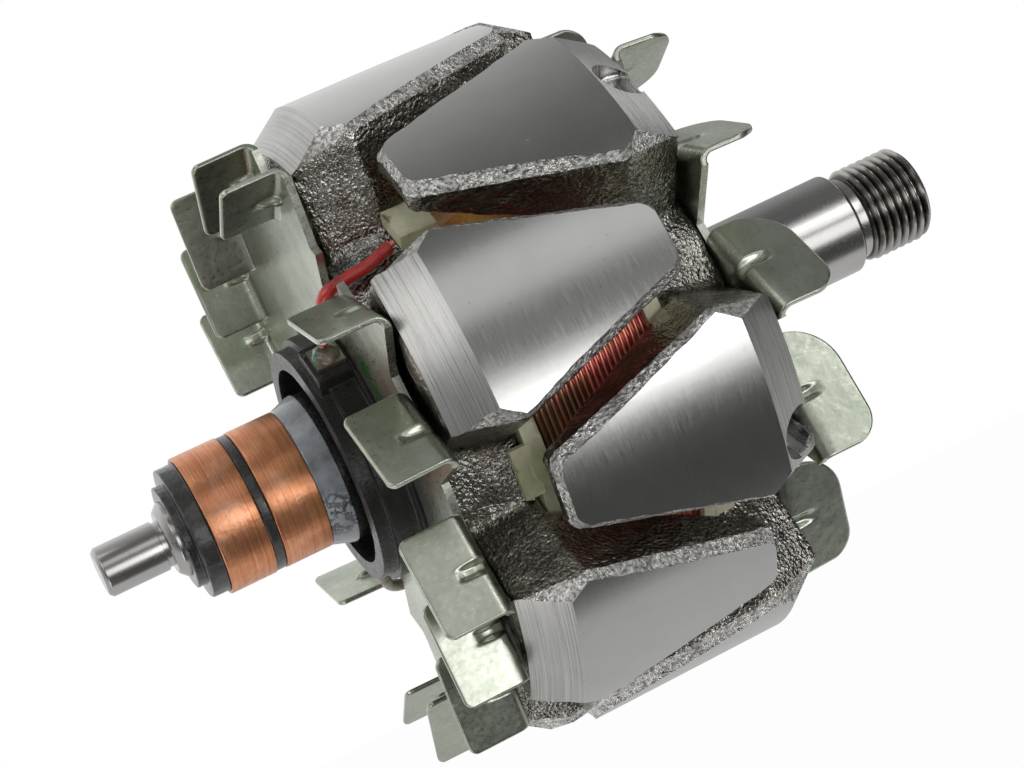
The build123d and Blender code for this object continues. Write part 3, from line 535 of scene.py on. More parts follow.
# Places along a pole piece are stations, counted from the pole middle towards its own end
POLE_RADIUS = 53.24
FACE_END = 18.35
CONE_END = 25.0
CONE_RADIUS = 48.5
END_EDGE_RADIUS = 46.6
BEVEL_DEPTH = 2.4
FACET_SLACK = 0.6
STATION_SLACK = 0.05
BALANCE_STATION = 22.2
BALANCE_MARKS = ((141.3, 3.66), (210.5, 3.76))
BALANCE_DEPTH = 0.3
FORGED_CELL = 1.15
FORGED_CELL_REGION = 33.0
FORGED_WAVES, FORGED_GRAIN = 0.30, 0.08
EDGE_WANDER, EDGE_NICKS = 0.24, 0.03

SKIN, FACE, CONE, BEVEL, DRILLED = range(5)
POLE_MATERIALS = [forging, turned_face, turned_cone, bevel_metal, drilled_steel]


def turned_radius(station):
    """The radius that the lathe left at a station."""
    return np.interp(
        station, [0, FACE_END, CONE_END, POLE_END], [POLE_RADIUS, POLE_RADIUS, CONE_RADIUS, END_EDGE_RADIUS]
    )


def in_balance_mark(centre, side):
    """Whether a point of the front pole lies in one of the two drillings made to balance the rotor."""
    offset = centre - Vector((POLE_MIDDLE + side * BALANCE_STATION, 0, 0))
    for angle, reach in BALANCE_MARKS:
        axis = Vector(cylinder_point(0, 1, angle))
        if side > 0 and offset.dot(axis) > 0 and (offset - axis * offset.dot(axis)).length < reach:
            return True
    return False


def face_kind(face, side):
    """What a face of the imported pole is: its place in the pole's materials."""
    centre, normal = face.calc_center_median() / MM, face.normal
    radius = math.hypot(centre.y, centre.z)
    outward = Vector((0, centre.y, centre.z)) / radius
    station = (centre.x - POLE_MIDDLE) * side
    lift = normal.dot(outward)
    across = abs(normal.dot(outward.cross(Vector((1, 0, 0)))))
    depth = float(turned_radius(max(station, 0))) - radius
    if in_balance_mark(centre, side) and (depth > BALANCE_DEPTH or lift < 0.6):
        return DRILLED
    if depth < FACET_SLACK and across < 0.2 and station < CONE_END + STATION_SLACK and lift > 0.6:
        return CONE if station > FACE_END - STATION_SLACK else FACE
    if depth < BEVEL_DEPTH and 0.3 < lift < 0.8 and station < CONE_END:
        return BEVEL
    return SKIN


def corners_of(work, kinds):
    """Which points of a mesh are corners of a face of one of the kinds."""
    chosen = np.zeros(len(work.verts), bool)
    for face in work.faces:
        if face.material_index in kinds:
            for vertex in face.verts:
                chosen[vertex.index] = True
    return chosen


def smooth_out(points, edges, free, rounds=3, share=0.45):
    """Moves the free points towards the mean of their neighbours."""
    for _ in range(rounds):
        total = np.zeros_like(points)
        count = np.zeros(len(points))
        for own, other in ((0, 1), (1, 0)):
            np.add.at(total, edges[:, own], points[edges[:, other]])
            np.add.at(count, edges[:, own], 1)
        mean = total / np.maximum(count, 1)[:, None]
        points[free] += (mean - points)[free] * share


def pole_mesh(node, name, side):
    """The forging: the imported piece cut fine, its turned faces made true and its skin made uneven."""
    work = packed_mesh(node)
    work.normal_update()
    for face in work.faces:
        face.material_index = face_kind(face, side)
    refine(work, FORGED_CELL, FORGED_CELL_REGION)
    work.normal_update()
    work.verts.index_update()
    points = np.array([vertex.co for vertex in work.verts]) / MM
    normals = np.array([vertex.normal for vertex in work.verts])
    edges = np.array([(edge.verts[0].index, edge.verts[1].index) for edge in work.edges])
    radius = np.hypot(points[:, 1], points[:, 2])
    turned = corners_of(work, (FACE, CONE))
    true_radius = turned_radius(np.clip((points[:, 0] - POLE_MIDDLE) * side, 0, None))
    points[:, 1:] *= np.where(turned, true_radius / radius, 1.0)[:, None]
    free = ~turned & (radius > FORGED_CELL_REGION)
    smooth_out(points, edges, free)
    for index in np.nonzero(free)[0]:
        here = Vector(points[index])
        waves = noise.noise(here * 0.28) * 0.5 + 0.5
        grain = noise.noise(here * 0.9 + Vector((7, 3, 1))) * 0.5 + 0.5
        points[index] -= normals[index] * (FORGED_WAVES * waves + FORGED_GRAIN * grain)
    # The edge between a turned face and its bevel wanders, because the lathe cut an uneven forging
    for index in np.nonzero(turned & corners_of(work, (SKIN, BEVEL, DRILLED)))[0]:
        here = Vector(points[index])
        tangent = np.array((0, -points[index, 2], points[index, 1])) / true_radius[index]
        points[index] += tangent * noise.noise(here * 0.45) * EDGE_WANDER
        points[index] += tangent * noise.noise(here * 1.7) * EDGE_NICKS
    for vertex, point in zip(work.verts, points):
        vertex.co = Vector(point) * MM
    mesh = bpy.data.meshes.new(name)
    work.to_mesh(mesh)
    work.free()
    finish_piece(name, mesh, POLE_MATERIALS, node, sharp=38.0)


pole_mesh("rear_pole", "rear_claw_forging", -1)
pole_mesh("front_pole", "front_claw_forging", 1)


# Shaft with its thread

JOURNAL_RADIUS = 4.0
JOURNAL_LENGTH = 9.9
JOURNAL_CHAMFER = 0.6
NECK_RADIUS = 3.65
NECK_LENGTH = 0.9
COLLAR_STEP_RADIUS = 5.0
COLLAR_STEP_LENGTH = 1.1
SEAT_RADIUS = 6.1
BODY_RADIUS = 9.0
BODY_END_X = POLE_MIDDLE + 29.5
BEARING_RADIUS = 8.5
BEARING_CHAMFER = 0.7
RELIEF_RADIUS = 7.0
RELIEF_LENGTH = 1.8
THREAD_START_X = SHAFT_FRONT - 11.2
THREAD_PITCH = 1.5
THREAD_DEPTH = 0.92
THREAD_FLAT = 0.08
THREAD_ENTRY = 0.9
CENTRE_HOLE = ((2.4, 0.0), (1.0, 2.2))


def shaft_profile():
    """The turned profile from the journal's end to the start of the thread."""
    neck_x = SHAFT_REAR + JOURNAL_LENGTH
    step_x = neck_x + NECK_LENGTH
    relief_x = THREAD_START_X - RELIEF_LENGTH
    return [
        (SHAFT_REAR, 0.0), (SHAFT_REAR, JOURNAL_RADIUS - JOURNAL_CHAMFER),
        (SHAFT_REAR + JOURNAL_CHAMFER, JOURNAL_RADIUS), (neck_x, JOURNAL_RADIUS),
        (neck_x, NECK_RADIUS), (step_x, NECK_RADIUS), (step_x, COLLAR_STEP_RADIUS),
        (step_x + COLLAR_STEP_LENGTH, SEAT_RADIUS), (REAR_FACE, SEAT_RADIUS),
        (REAR_FACE, BODY_RADIUS), (BODY_END_X, BODY_RADIUS), (BODY_END_X, BEARING_RADIUS),
        (relief_x - BEARING_CHAMFER, BEARING_RADIUS), (relief_x, BEARING_RADIUS - BEARING_CHAMFER),
        (relief_x, RELIEF_RADIUS), (THREAD_START_X, RELIEF_RADIUS),
    ]


def thread_radius(x, angle):
    """The radius of the thread's surface at a place along the shaft and an angle."""
    phase = ((x - THREAD_START_X) / THREAD_PITCH - angle / 360) % 1.0
    flank = min(abs(phase - 0.5) * 2, 1.0)
    rise = min(max((1 - flank) * (1 + 2 * THREAD_FLAT) - THREAD_FLAT, 0.0), 1.0)
    radius = THREAD_RADIUS - THREAD_DEPTH * (1 - rise)
    entry = min(x - THREAD_START_X, SHAFT_FRONT - x)
    return min(radius, THREAD_RADIUS - THREAD_ENTRY + entry)


def shaft_mesh():
    """The shaft: its plain turned length, the thread and the centre hole in its front end."""
    segments, thread_rows = 128, 150
    angles = [360 * k / segments for k in range(segments)]
    profile = rounded(shaft_profile(), 0.12)
    points, faces = lathe_points(profile, segments)
    plain = len(faces)
    rings = [(len(profile) - 1) * segments]
    for row in range(thread_rows + 1):
        x = THREAD_START_X + (SHAFT_FRONT - THREAD_START_X) * row / thread_rows
        rings.append(len(points))
        points.extend(cylinder_point(x, thread_radius(x, angle), angle) for angle in angles)
    for radius, depth in CENTRE_HOLE:
        rings.append(len(points))
        points.extend(cylinder_point(SHAFT_FRONT - depth, radius, angle) for angle in angles)
    for first, second in zip(rings, rings[1:]):
        faces.extend(ring_quads(first, second, segments))
    faces.append(tuple(rings[-1] + k for k in range(segments)))
    threaded = (thread_rows + 1) * segments
    indices = [0] * plain + [1] * threaded + [0] * (len(faces) - plain - threaded)
    piece(
        "turned_shaft", points, faces, [ground_shaft, thread_steel], "shaft", indices, 32.0
    )


shaft_mesh()


# Fans

FAN_SHEET = 1.2
BLADE_SHEET = 0.85
BEND_RADIUS = 2.2
LOBE_ANGLE = 7.0
SLOT_HALF = 3.5
SLOT_FLOOR = 30.5
EDGE_ROUNDING = 0.3
DART_HALF_WIDTH = 0.95
DART_HEIGHT = 2.9
DART_DEPTH = 1.15
DART_WAY = Vector((0.8, 0.45))


def flat(radius, angle):
    """A point of the plate, in its plane."""
    turn = math.radians(angle)
    return Vector((radius * math.cos(turn), radius * math.sin(turn)))


@dataclass
class Fan:
    """Sizes of one fan. Side is -1 at the slip-ring end and 1 at the thread end.

    The bend of each blade runs from the outer radius at its own angle to the inner radius, swept back.
    The corners are the radii of the blade's two upper corners. Slots let the leads through.
    """

    side: int
    hole: float
    hub: float
    outer: float
    inner: float
    sweep: float
    height: float
    corners: tuple
    angles: tuple
    slots: tuple

    def point(self, spot, lift):
        """A point of the rotor from a place in the plate's plane and a height over the plate's seat."""
        return POLE_MIDDLE + self.side * POLE_END + self.side * lift, spot.x, spot.y

    def bend(self, angle):
        """The inner and outer ends of a blade's bend line, and the direction from the blade to its lobe."""
        inner_end, outer_end = flat(self.inner, angle - self.sweep), flat(self.outer, angle)
        chord = (outer_end - inner_end).normalized()
        return inner_end, outer_end, Vector((-chord.y, chord.x))


rear_sizes = Fan(
    side=-1, hole=23.0, hub=39.5, outer=51.5, inner=40.2, sweep=14.2, height=10.4, corners=(1.4, 1.4),
    angles=(8.3, 40, 57, 74, 111, 127.3, 164, 188.3, 215.5, 232, 249, 283, 302, 341.5),
    slots=(LEAD_ANGLE, FINISH_LEAD_ANGLE),
)
front_sizes = Fan(
    side=1, hole=12.0, hub=33.5, outer=48.5, inner=35.0, sweep=20.5, height=10.8, corners=(7.5, 4.5),
    angles=(10, 40, 85, 130, 160, 190, 220, 265, 310, 340), slots=(),
)


def edge_rounding(gap):
    """How much of its thickness the sheet keeps at a distance from its edge."""
    if gap > EDGE_ROUNDING:
        return 1.0
    return 0.4 + 0.6 * math.sqrt(1 - (1 - max(gap, 0) / EDGE_ROUNDING) ** 2)


def blade_mesh(fan, angle):
    """One blade as a bent sheet with a pressed dart: points, faces and the kind of each face."""
    inner_end, outer_end, lobe = fan.bend(angle)
    chord = outer_end - inner_end
    length = chord.length
    along = chord.normalized()
    rng = random.Random(int(angle * 10) + fan.side)
    lean = rng.uniform(-0.02, 0.09)
    dart_middle = length * (0.5 + rng.uniform(-0.05, 0.05))
    bend_rows, blade_rows, even_columns = 7, 16, 40
    rows = bend_rows + blade_rows
    bend_share = bend_rows / rows

    def rise(distance):
        """The blade's height, lower at its rounded corners."""
        height = fan.height - BEND_RADIUS
        for near, corner in ((distance, fan.corners[0]), (length - distance, fan.corners[1])):
            if near < corner:
                height -= corner - math.sqrt(max(corner**2 - (corner - near) ** 2, 0))
        return height

    def section(share, distance):
        """The sheet at a share of its way: its middle (towards the lobe, up), and its half thickness."""
        sheet = FAN_SHEET + (BLADE_SHEET - FAN_SHEET) * min(share / bend_share, 1.0)
        middle = BEND_RADIUS - sheet / 2
        edge_gap = min(distance, length - distance)
        if share <= bend_share:
            turn = share / bend_share * math.pi / 2
            spot = Vector((BEND_RADIUS - math.sin(turn) * middle, BEND_RADIUS - math.cos(turn) * middle))
            normal = Vector((-math.sin(turn), -math.cos(turn)))
        else:
            climb = math.sin((share - bend_share) / (1 - bend_share) * math.pi / 2) * rise(distance)
            edge_gap = min(edge_gap, rise(distance) - climb)
            spot = Vector((sheet / 2 + lean * climb, BEND_RADIUS + climb))
            normal = Vector((-1, 0))
        window = math.exp(-(((distance - dart_middle) / DART_HALF_WIDTH) ** 4))
        reach = max(0.0, 1 - max(spot.y - BEND_RADIUS, 0) / DART_HEIGHT)
        push = DART_DEPTH * window * math.sin(min(reach, 1) * math.pi / 2) * min(1.0, share / bend_share * 1.6)
        return spot + DART_WAY * push, normal * (sheet / 2 * edge_rounding(edge_gap))

    # The columns stand closer at the blade's ends and across the dart
    distances = [length * (1 - math.cos(math.pi * k / even_columns)) / 2 for k in range(even_columns + 1)]
    distances = sorted(distances + [dart_middle + 0.17 * k for k in range(-9, 10)])
    points = []
    for half in (1, -1):
        for distance in distances:
            for row in range(rows + 1):
                spot, normal = section(row / rows, distance)
                spot = spot + normal * half
                points.append(fan.point(inner_end + along * distance + lobe * spot.x, spot.y))
    columns = len(distances) - 1
    faces = sheet_faces(columns, rows)
    kinds = [0] * (2 * columns * rows) + [0, 1] * columns + [1, 1] * rows
    return points, faces, kinds


def fan_outline(fan):
    """The plate's outline as flat points, with a lobe out to the bend of each blade and the lead slots."""
    lobes = []
    for angle in fan.angles:
        inner_end, outer_end, lobe = fan.bend(angle)
        lobes.append([
            inner_end + lobe * BEND_RADIUS,
            outer_end + lobe * BEND_RADIUS,
            flat(fan.hub - FAN_SHEET, angle + LOBE_ANGLE),
            flat(fan.hub / 2, angle),
            flat(fan.hub - FAN_SHEET, angle - fan.sweep),
        ])

    def reach(ray):
        """How far out the plate goes along a ray."""
        best = fan.hub
        for shape in lobes:
            for a, b in zip(shape, shape[1:] + shape[:1]):
                edge = b - a
                cross = ray.x * edge.y - ray.y * edge.x
                if abs(cross) < 1e-9:
                    continue
                out = (a.x * edge.y - a.y * edge.x) / cross
                share = (a.x * ray.y - a.y * ray.x) / cross
                if -1e-6 <= share <= 1 + 1e-6 and out > best:
                    best = out
        return best

    def in_slot(point):
        for angle in fan.slots:
            axis = flat(1.0, angle)
            if abs(axis.x * point.y - axis.y * point.x) < SLOT_HALF and point.dot(axis) > 0:
                return True
        return False

    turns = [math.radians(k * 1.5) for k in range(240)]
    for shape in lobes:
        for corner in shape[:3]:
            turn = math.atan2(corner.y, corner.x) % (2 * math.pi)
            turns.extend((turn - 1e-4, turn, turn + 1e-4))
    outline = []
    for turn in sorted(t % (2 * math.pi) for t in turns):
        ray = Vector((math.cos(turn), math.sin(turn)))
        point = ray * reach(ray)
        if not in_slot(point):
            outline.append((turn, point))
    for angle in fan.slots:
        axis = flat(1.0, angle)
        across = Vector((-axis.y, axis.x)) * SLOT_HALF
        mouth = math.sqrt(fan.hub**2 - SLOT_HALF**2)
        middle, step = math.radians(angle), math.asin(SLOT_HALF / fan.hub)
        outline.append((middle - step + 1e-5, axis * mouth - across))
        outline.append((middle - step + 2e-5, axis * SLOT_FLOOR - across))
        outline.append((middle + step - 2e-5, axis * SLOT_FLOOR + across))
        outline.append((middle + step - 1e-5, axis * mouth + across))
    outline.sort(key=lambda entry: entry[0])
    return [point for _, point in outline]


def inside(point, outline):
    """Whether a flat point lies inside a closed outline."""
    crossings = 0
    for a, b in zip(outline, outline[1:] + outline[:1]):
        if (a.y > point.y) != (b.y > point.y):
            crossings += point.x < a.x + (point.y - a.y) / (b.y - a.y) * (b.x - a.x)
    return crossings % 2 == 1


def plate_mesh(fan):
    """The fan's plate: the filled outline with its hole, given the sheet's thickness."""
    outline = fan_outline(fan)
    hole = [flat(fan.hole, 3 * k) for k in range(120)]
    borders = []
    for first, ring in ((0, outline), (len(outline), hole)):
        borders.extend((first + k, first + (k + 1) % len(ring)) for k in range(len(ring)))
    spots, _, triangles, *_ = delaunay_2d_cdt(outline + hole, borders, [], 0, 1e-6)
    kept = []
    for triangle in triangles:
        middle = sum((spots[index] for index in triangle), Vector((0, 0))) / 3
        if middle.length > fan.hole and inside(middle, outline):
            kept.append(tuple(triangle))
    count = len(spots)
    points = [fan.point(spot, lift) for lift in (0, FAN_SHEET) for spot in spots]
    faces = kept + [tuple(index + count for index in triangle) for triangle in kept]
    kinds = [0] * len(faces)
    uses = {}
    for triangle in kept:
        for pair in zip(triangle, triangle[1:] + triangle[:1]):
            side = tuple(sorted(pair))
            uses[side] = uses.get(side, 0) + 1
    for (a, b), number in uses.items():
        if number == 1:
            faces.append((a, b, b + count, a + count))
            kinds.append(1)
    return points, faces, kinds


def fan_mesh(fan, name, node):
    """One pressing: its plate and blades, with the cut edges of the sheet as the second material."""
    parts = [plate_mesh(fan)] + [blade_mesh(fan, angle) for angle in fan.angles]
    points, faces = join_lists([(part[0], part[1]) for part in parts])
    kinds = [kind for part in parts for kind in part[2]]
    piece(name, points, faces, [fan_zinc, cut_edge], node, kinds, 40.0)


fan_mesh(rear_sizes, "rear_fan_pressing", "rear_fan")
fan_mesh(front_sizes, "front_fan_pressing", "front_fan")


# Winding and tape

OUTER_TURNS = 26
WINDING_INNER = 28.0
WIRE_SHARE = 0.49
TURN_SINK = 0.08
TURN_DRIFT, TURN_LIFT = 0.10, 0.07
TAPE_SHEET = 0.4
TAPE_MEAN = 0.36
TAPE_EDGE_DROP = 0.12
TAPE_RIPPLE = 0.12
TAPE_RIDGE = 0.05
TAPE_RIDGE_PITCH = 0.94


def winding():
    """The outer layer as separate round turns on a plain body, each turn a little uneven."""
    pitch = (WINDING_FRONT_X - WINDING_REAR_X) / OUTER_TURNS
    wire = pitch * WIRE_SHARE
    body_radius = WINDING_RADIUS - wire * 1.2
    start, end = WINDING_REAR_X, WINDING_FRONT_X
    body = [(start, WINDING_INNER), (start, body_radius), (end, body_radius), (end, WINDING_INNER)]
    line = []
    steps = 90
    for k in range(OUTER_TURNS * steps - steps // 2):
        x = start + pitch * (k / steps + 0.25)
        drift = noise.noise(Vector((k * 0.045, 3.1, 0.2))) * TURN_DRIFT
        lift = noise.noise(Vector((k * 0.06, 9.7, 4.2))) * TURN_LIFT
        line.append(cylinder_point(x + drift, WINDING_RADIUS - wire - TURN_SINK + lift, 360 * k / steps))
    points, faces = join_lists([lathe_points(body, 96), tube(line, wire, 7)])
    piece("wound_turns", points, faces, [wire_enamel], "field_coil", sharp=60.0)


def tape_strip(name, node, first_angle, span):
    """Varnished tape over the turns, with wrinkles and soaked-in ridges."""
    start_x, end_x = ends(node)
    columns, rows = max(int(span * 1.6), 12), 22
    points = []
    for layer in (0, 1):
        for column in range(columns + 1):
            angle = first_angle + span * column / columns
            for row in range(rows + 1):
                x = start_x + (end_x - start_x) * row / rows
                ripple = noise.noise(Vector((x * 0.5, angle * 0.25, 1.7))) * TAPE_RIPPLE
                ridge = TAPE_RIDGE * math.sin(x * 2 * math.pi / TAPE_RIDGE_PITCH)
                drop = 0.0 if 0 < row < rows and 0 < column < columns else TAPE_EDGE_DROP
                height = min((TAPE_MEAN + ripple + ridge - drop) * layer, TAPE_SHEET)
                points.append(cylinder_point(x, WINDING_RADIUS + height, angle))
    piece(name, points, sheet_faces(columns, rows), [tape_varnish], node, sharp=60.0)


winding()
tape_strip("start_tape_wrap", "start_lead_tape", LEAD_ANGLE - 30.0, 40.0)
tape_strip("finish_tape_wrap", "finish_lead_tape", LEAD_ANGLE + 80.0, 16.0)


# Bobbin, guard cup and slip rings


def softened(node, name, material, width, cell, uneven):
    """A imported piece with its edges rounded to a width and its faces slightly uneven."""
    work = packed_mesh(node)
    bmesh.ops.dissolve_limit(
        work, angle_limit=math.radians(1.0), verts=work.verts, edges=work.edges,
        use_dissolve_boundaries=False,
    )
    edges = [edge for edge in work.edges if edge.is_manifold and edge.calc_face_angle() > math.radians(35)]
    bmesh.ops.bevel(
        work, geom=edges, offset=width * MM, segments=2, profile=0.6, affect="EDGES", clamp_overlap=True
    )
    bmesh.ops.triangulate(work, faces=work.faces)
    refine(work, cell, 0.0)
    work.normal_update()
    for vertex in work.verts:
        here = vertex.co / MM
        vertex.co -= vertex.normal * (uneven * MM) * (0.5 + 0.5 * noise.noise(here * 0.5))
    mesh = bpy.data.meshes.new(name)
    work.to_mesh(mesh)
    work.free()
    finish_piece(name, mesh, [material], node, sharp=42.0)


softened("bobbin", "nylon_bobbin", cream_nylon, width=0.55, cell=1.6, uneven=0.05)

RING_INNER = 9.5
RIB_RADIUS = 11.15
NOSE_RADIUS = 8.6
NOSE_LENGTH = 1.4
FLANGE_RADIUS = 10.9
COLLAR_ROWS = 8
COLLAR_WEAR = 0.16
CHIP_LUMPS, CHIP_CRINKLES = 0.30, 0.22


def uneven_at(x, angle, along, around):
    """Noise from 0 to about 1 on a turned or moulded surface."""
    _, y, z = cylinder_point(0, around, angle)
    return 0.5 + 0.5 * noise.noise(Vector((x * along, y, z)))


def worn_collar(x, radius, angle):
    """The collar's band, slightly uneven, always inwards."""
    return radius - COLLAR_WEAR * uneven_at(x, angle, 0.5, 2.0)


def chipped(x, radius, angle):
    """The rear end of the moulding is trimmed by hand: flats and nicks round its flange."""
    if x > RING_REAR_X - 0.2 or radius < SEAT_RADIUS + 0.4:
        return radius
    lumps, crinkles = uneven_at(x, angle, 0.5, 3.1), uneven_at(x, angle, 1.1, 9.0)
    return radius - CHIP_LUMPS * lumps - CHIP_CRINKLES * crinkles


for name, node, rear_x, front_x in (
    ("outer_ring_track", "outer_slip_ring", RING_REAR_X, GAP_START_X),
    ("inner_ring_track", "inner_slip_ring", GAP_END_X, RING_FRONT_X),
):
    closed_lathe(
        name, node, copper,
        [(rear_x, RING_INNER), (rear_x, RING_RADIUS), (front_x, RING_RADIUS), (front_x, RING_INNER)],
    )
closed_lathe(
    "moulding_body", "slip_ring_moulding", black_resin,
    [
        (MOULDING_REAR_X, SEAT_RADIUS), (MOULDING_REAR_X, NOSE_RADIUS),
        (MOULDING_REAR_X + NOSE_LENGTH, NOSE_RADIUS), (MOULDING_REAR_X + NOSE_LENGTH, FLANGE_RADIUS),
        (RING_REAR_X - NOSE_LENGTH, FLANGE_RADIUS), (RING_REAR_X, FLANGE_RADIUS), (RING_REAR_X, RING_INNER),
        (GAP_START_X, RING_INNER), (GAP_START_X, RIB_RADIUS), (GAP_END_X, RIB_RADIUS),
        (GAP_END_X, RING_INNER), (COLLAR_FRONT_X, RING_INNER), (COLLAR_FRONT_X, SEAT_RADIUS),
    ],
    160, chipped, 0.3,
)
collar_slope = [
    (RING_FRONT_X + (COLLAR_FRONT_X - RING_FRONT_X) * k / COLLAR_ROWS,
     RING_RADIUS + (COLLAR_RADIUS - RING_RADIUS) * k / COLLAR_ROWS)
    for k in range(COLLAR_ROWS + 1)
]
closed_lathe(
    "collar_band", "ring_collar", collar_resin,
    [(RING_FRONT_X, RING_INNER), *collar_slope, (COLLAR_FRONT_X, RING_INNER)],
    160, worn_collar, 0.2,
)
softened("guard_ring", "guard_cup", guard_black, width=0.3, cell=1.4, uneven=0.12)


# Terminals, beads and leads

BEAD_FOOT_RADIUS = 23.1
BEAD_HALF_LENGTH = 2.35
BEAD_HALF_WIDTH = 2.2
BEAD_HEIGHT = 1.7
BEAD_LUMPS, BEAD_SHRINK = 0.13, 0.08


def solder_lump(name, node, angle):
    """The bead on a terminal: a lumpy cap of solder under varnish."""
    low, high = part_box(node)
    centre = (low + high) / 2 / MM
    forward = Vector((1, 0, 0))
    outward = Vector(cylinder_point(0, 1, angle))
    across = outward.cross(forward)
    foot = forward * centre.x + outward * BEAD_FOOT_RADIUS
    points, faces = [], []
    rings, sides = 12, 28
    for ring in range(rings + 1):
        lift = math.pi / 2 * ring / rings
        for side in range(sides):
            turn = 2 * math.pi * side / sides
            spot = Vector((
                BEAD_HALF_LENGTH * math.cos(lift) * math.cos(turn),
                BEAD_HALF_WIDTH * math.cos(lift) * math.sin(turn),
                BEAD_HEIGHT * math.sin(lift),
            ))
            grow = 1 + BEAD_LUMPS * noise.noise(spot * 0.9 + centre) - BEAD_SHRINK
            points.append(tuple(foot + (forward * spot.x + across * spot.y + outward * spot.z) * grow))
    for first in range(0, rings * sides, sides):
        faces.extend(ring_quads(first, first + sides, sides))
    faces.append(tuple(range(sides)))
    piece(name, points, faces, [solder], node, sharp=60.0)


solder_lump("start_solder_lump", "start_solder_bead", LEAD_ANGLE)
solder_lump("finish_solder_lump", "finish_solder_bead", FINISH_LEAD_ANGLE)

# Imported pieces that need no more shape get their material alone
for material, plain_nodes in (
    (conductor, ("outer_ring_lead", "inner_ring_lead")),
    (tinned, ("start_terminal", "finish_terminal")),
    (red_sleeve, ("start_lead_sleeve",)),
    (ivory_sleeve, ("finish_lead_sleeve",)),
    (wire_enamel, ("start_lead_wire", "finish_lead_wire")),
):
    for node in plain_nodes:
        nodes[node].data.materials.clear()
        nodes[node].data.materials.append(material)


# Stage, camera and light

# The studio seen from the rotor: how bright it is at each angle about the shaft, in degrees, from the
# photographer (0) over the top (90) to the paper behind (180), and down to the paper below (-90)
STUDIO = [
    (-180, 1.0), (-98, 1.0), (-86, 0.38), (-77, 0.11), (-38, 0.07), (-28, 0.3), (-2, 0.4), (6, 0.2),
    (16, 0.2), (42, 0.2), (58, 0.16), (74, 0.30), (90, 0.50), (106, 0.66), (124, 0.95), (180, 1.0),
]
PAPER_START = 124.0
PAPER_BELOW = -98.0
PAPER_END = 0.315
FLOOR_HEIGHT = -0.30
FLOOR_FRONT = -0.055
FLOOR_SIZE = 3.0
FLOOR_SEEN, FLOOR_MIRRORED = 0.97, 0.45

# The camera, fitted to the photograph: its place in millimetres, then which way the picture runs
LENS, SENSOR_WIDTH = 83.79, 36.0
CAMERA_PLACE = Vector((-97.128, -363.409, -9.440))
PICTURE_RIGHT = Vector((0.87385, -0.21772, -0.43472))
PICTURE_UP = Vector((0.41551, -0.12985, 0.90027))
VIEW_WAY = Vector((0.25246, 0.96733, 0.02300))


def seen_white(graph):
    """Marks the rays that see the paper: first straight or through glass, then off a glossy face."""
    paths = graph.add("ShaderNodeLightPath").outputs
    direct = graph.maths("MAXIMUM", paths["Is Camera Ray"], paths["Is Transmission Ray"])
    return direct, paths["Is Glossy Ray"]


def stage_plane():
    """White paper under and behind the rotor; it stops in front of it, where the room is dark."""
    graph = Graph("floor_white")
    shade = graph.mix(graph.cloud(graph.place(), 0.002), rgb(0.86, 0.86, 0.86), rgb(0.9, 0.9, 0.9))
    graph.feed(graph.shader.inputs["Base Color"], shade)
    graph.shader.inputs["Roughness"].default_value = 0.9
    light = graph.add("ShaderNodeEmission", {"Color": rgb(1, 1, 1), "Strength": 1.0})
    direct, glossy = seen_white(graph)
    seen = graph.maths("MAXIMUM", graph.times(direct, FLOOR_SEEN), graph.times(glossy, FLOOR_MIRRORED))
    blend = graph.add("ShaderNodeMixShader", {0: seen, 1: graph.shader.outputs[0], 2: light.outputs[0]})
    graph.feed(graph.tree.nodes["Material Output"].inputs["Surface"], blend.outputs[0])
    mesh = bpy.data.meshes.new("floor")
    side = FLOOR_SIZE
    corners = [(-side, FLOOR_FRONT), (side, FLOOR_FRONT), (side, side), (-side, side)]
    mesh.from_pydata([(x, y, FLOOR_HEIGHT) for x, y in corners], [], [(0, 1, 2, 3)])
    mesh.materials.append(graph.owner)
    floor = bpy.data.objects.new("floor", mesh)
    bpy.context.scene.collection.objects.link(floor)


def camera():
    """Camera at the photograph's viewing angle."""
    data = bpy.data.cameras.new("camera")
    data.lens = LENS
    data.sensor_width = SENSOR_WIDTH
    data.sensor_fit = "HORIZONTAL"
    obj = bpy.data.objects.new("camera", data)
    rotation = Matrix((PICTURE_RIGHT, PICTURE_UP, -VIEW_WAY)).transposed().to_4x4()
    obj.matrix_world = Matrix.Translation(CAMERA_PLACE * MM) @ rotation
    bpy.context.scene.collection.objects.link(obj)
    bpy.context.scene.camera = obj


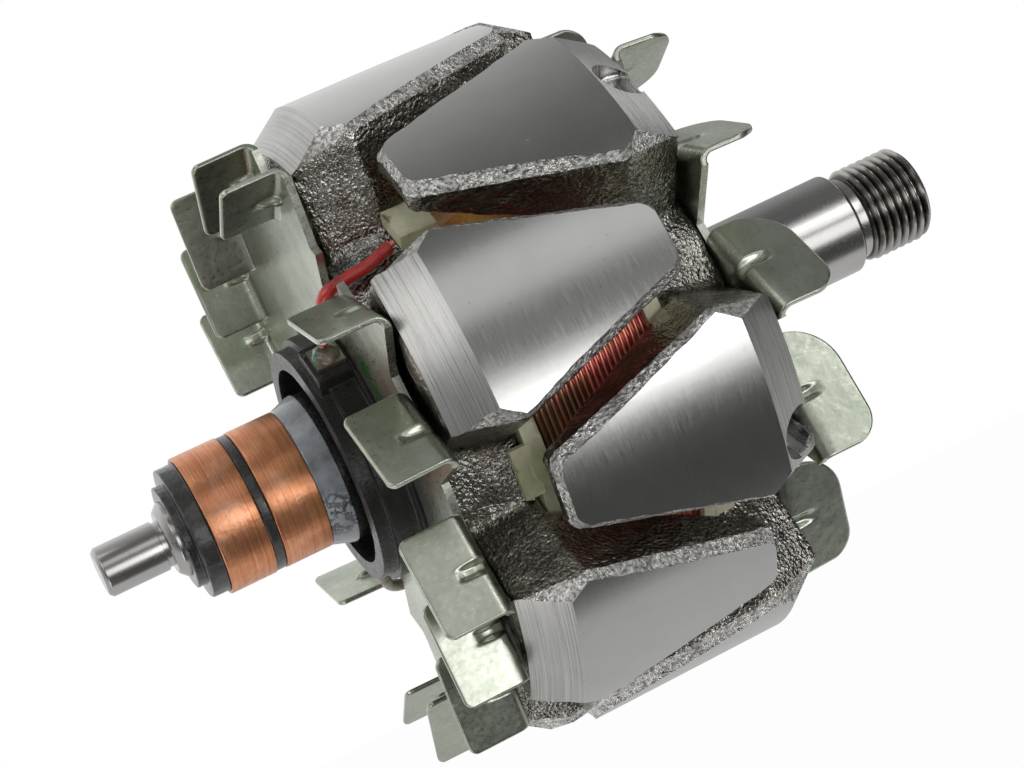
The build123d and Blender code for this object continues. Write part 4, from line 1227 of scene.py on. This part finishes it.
def world():
    """White paper to the camera; off the rotor's metal also the dark room in front of it."""
    graph = Graph("studio", bpy.data.worlds)
    bpy.context.scene.world = graph.owner
    graph.tree.nodes.clear()
    x, y, z = graph.parts(graph.add("ShaderNodeTexCoord").outputs["Generated"])
    turn = graph.maths("ARCTAN2", z, graph.times(y, -1.0))
    ramp = graph.add("ShaderNodeValToRGB", {0: graph.spread(turn, -math.pi, math.pi)})
    ramp.color_ramp.interpolation = "EASE"
    stops = ramp.color_ramp.elements
    while len(stops) < len(STUDIO):
        stops.new(0.5)
    for stop, (angle, level) in zip(stops, STUDIO):
        stop.position = (angle + 180) / 360
        stop.color = rgb(level, level, level)
    # The room is darker past the thread's end, and the paper stops there
    high = graph.spread(turn, math.radians(60), math.radians(85))
    past = graph.spread(x, 0.30, 0.37)
    fade = graph.maths("SUBTRACT", 1.0, graph.times(high, past, 0.6))
    fade = graph.times(fade, graph.spread(x, 0.45, 0.95, 1.0, 0.17))
    room = graph.add("ShaderNodeBackground", {"Color": ramp.outputs[0], "Strength": fade})
    white = graph.add("ShaderNodeBackground", {"Color": rgb(1, 1, 1), "Strength": 1.0})
    above = graph.maths("GREATER_THAN", turn, math.radians(PAPER_START))
    below = graph.maths("LESS_THAN", turn, math.radians(PAPER_BELOW))
    within = graph.maths("LESS_THAN", x, PAPER_END)
    direct, glossy = seen_white(graph)
    paper = graph.times(glossy, within, graph.maths("MAXIMUM", above, below))
    seen = graph.maths("MAXIMUM", direct, paper)
    blend = graph.add("ShaderNodeMixShader", {0: seen, 1: room.outputs[0], 2: white.outputs[0]})
    graph.add("ShaderNodeOutputWorld", {"Surface": blend.outputs[0]})


def lamp_at(name, angle, along, distance, size, level):
    """A lamp at an angle of the studio list; its level is how bright it looks next to white paper."""
    data = bpy.data.lights.new(name, "AREA")
    data.shape = "RECTANGLE"
    data.size, data.size_y = size
    data.energy = level * math.pi * size[0] * size[1]
    turn = math.radians(angle)
    place = Vector((along, -math.cos(turn) * distance, math.sin(turn) * distance))
    obj = bpy.data.objects.new(name, data)
    obj.location = place
    obj.rotation_euler = (-place).to_track_quat("-Z", "Y").to_euler()
    bpy.context.scene.collection.objects.link(obj)


stage_plane()
camera()
world()
lamp_at("key", -14.0, 0.14, 0.52, (0.60, 0.235), 1.75)
lamp_at("top", 29.0, 0.12, 0.58, (0.60, 0.20), 0.85)
lamp_at("flash", -14.0, 0.14, 0.515, (0.09, 0.09), 5.0)
lamp_at("side", 121.0, 0.48, 0.35, (0.2, 0.2), 1.2)
lamp_at("left", 37.7, -0.46, 0.376, (0.30, 0.23), 2.2)
lamp_at("low", -67.0, -0.26, 0.305, (0.25, 0.2), 1.5)
lamp_at("right", 20.0, 0.34, 0.436, (0.14, 0.2), 2.8)
lamp_at("crown", 71.0, -0.175, 0.47, (0.2, 0.2), 1.2)

bpy.context.view_layer.update()
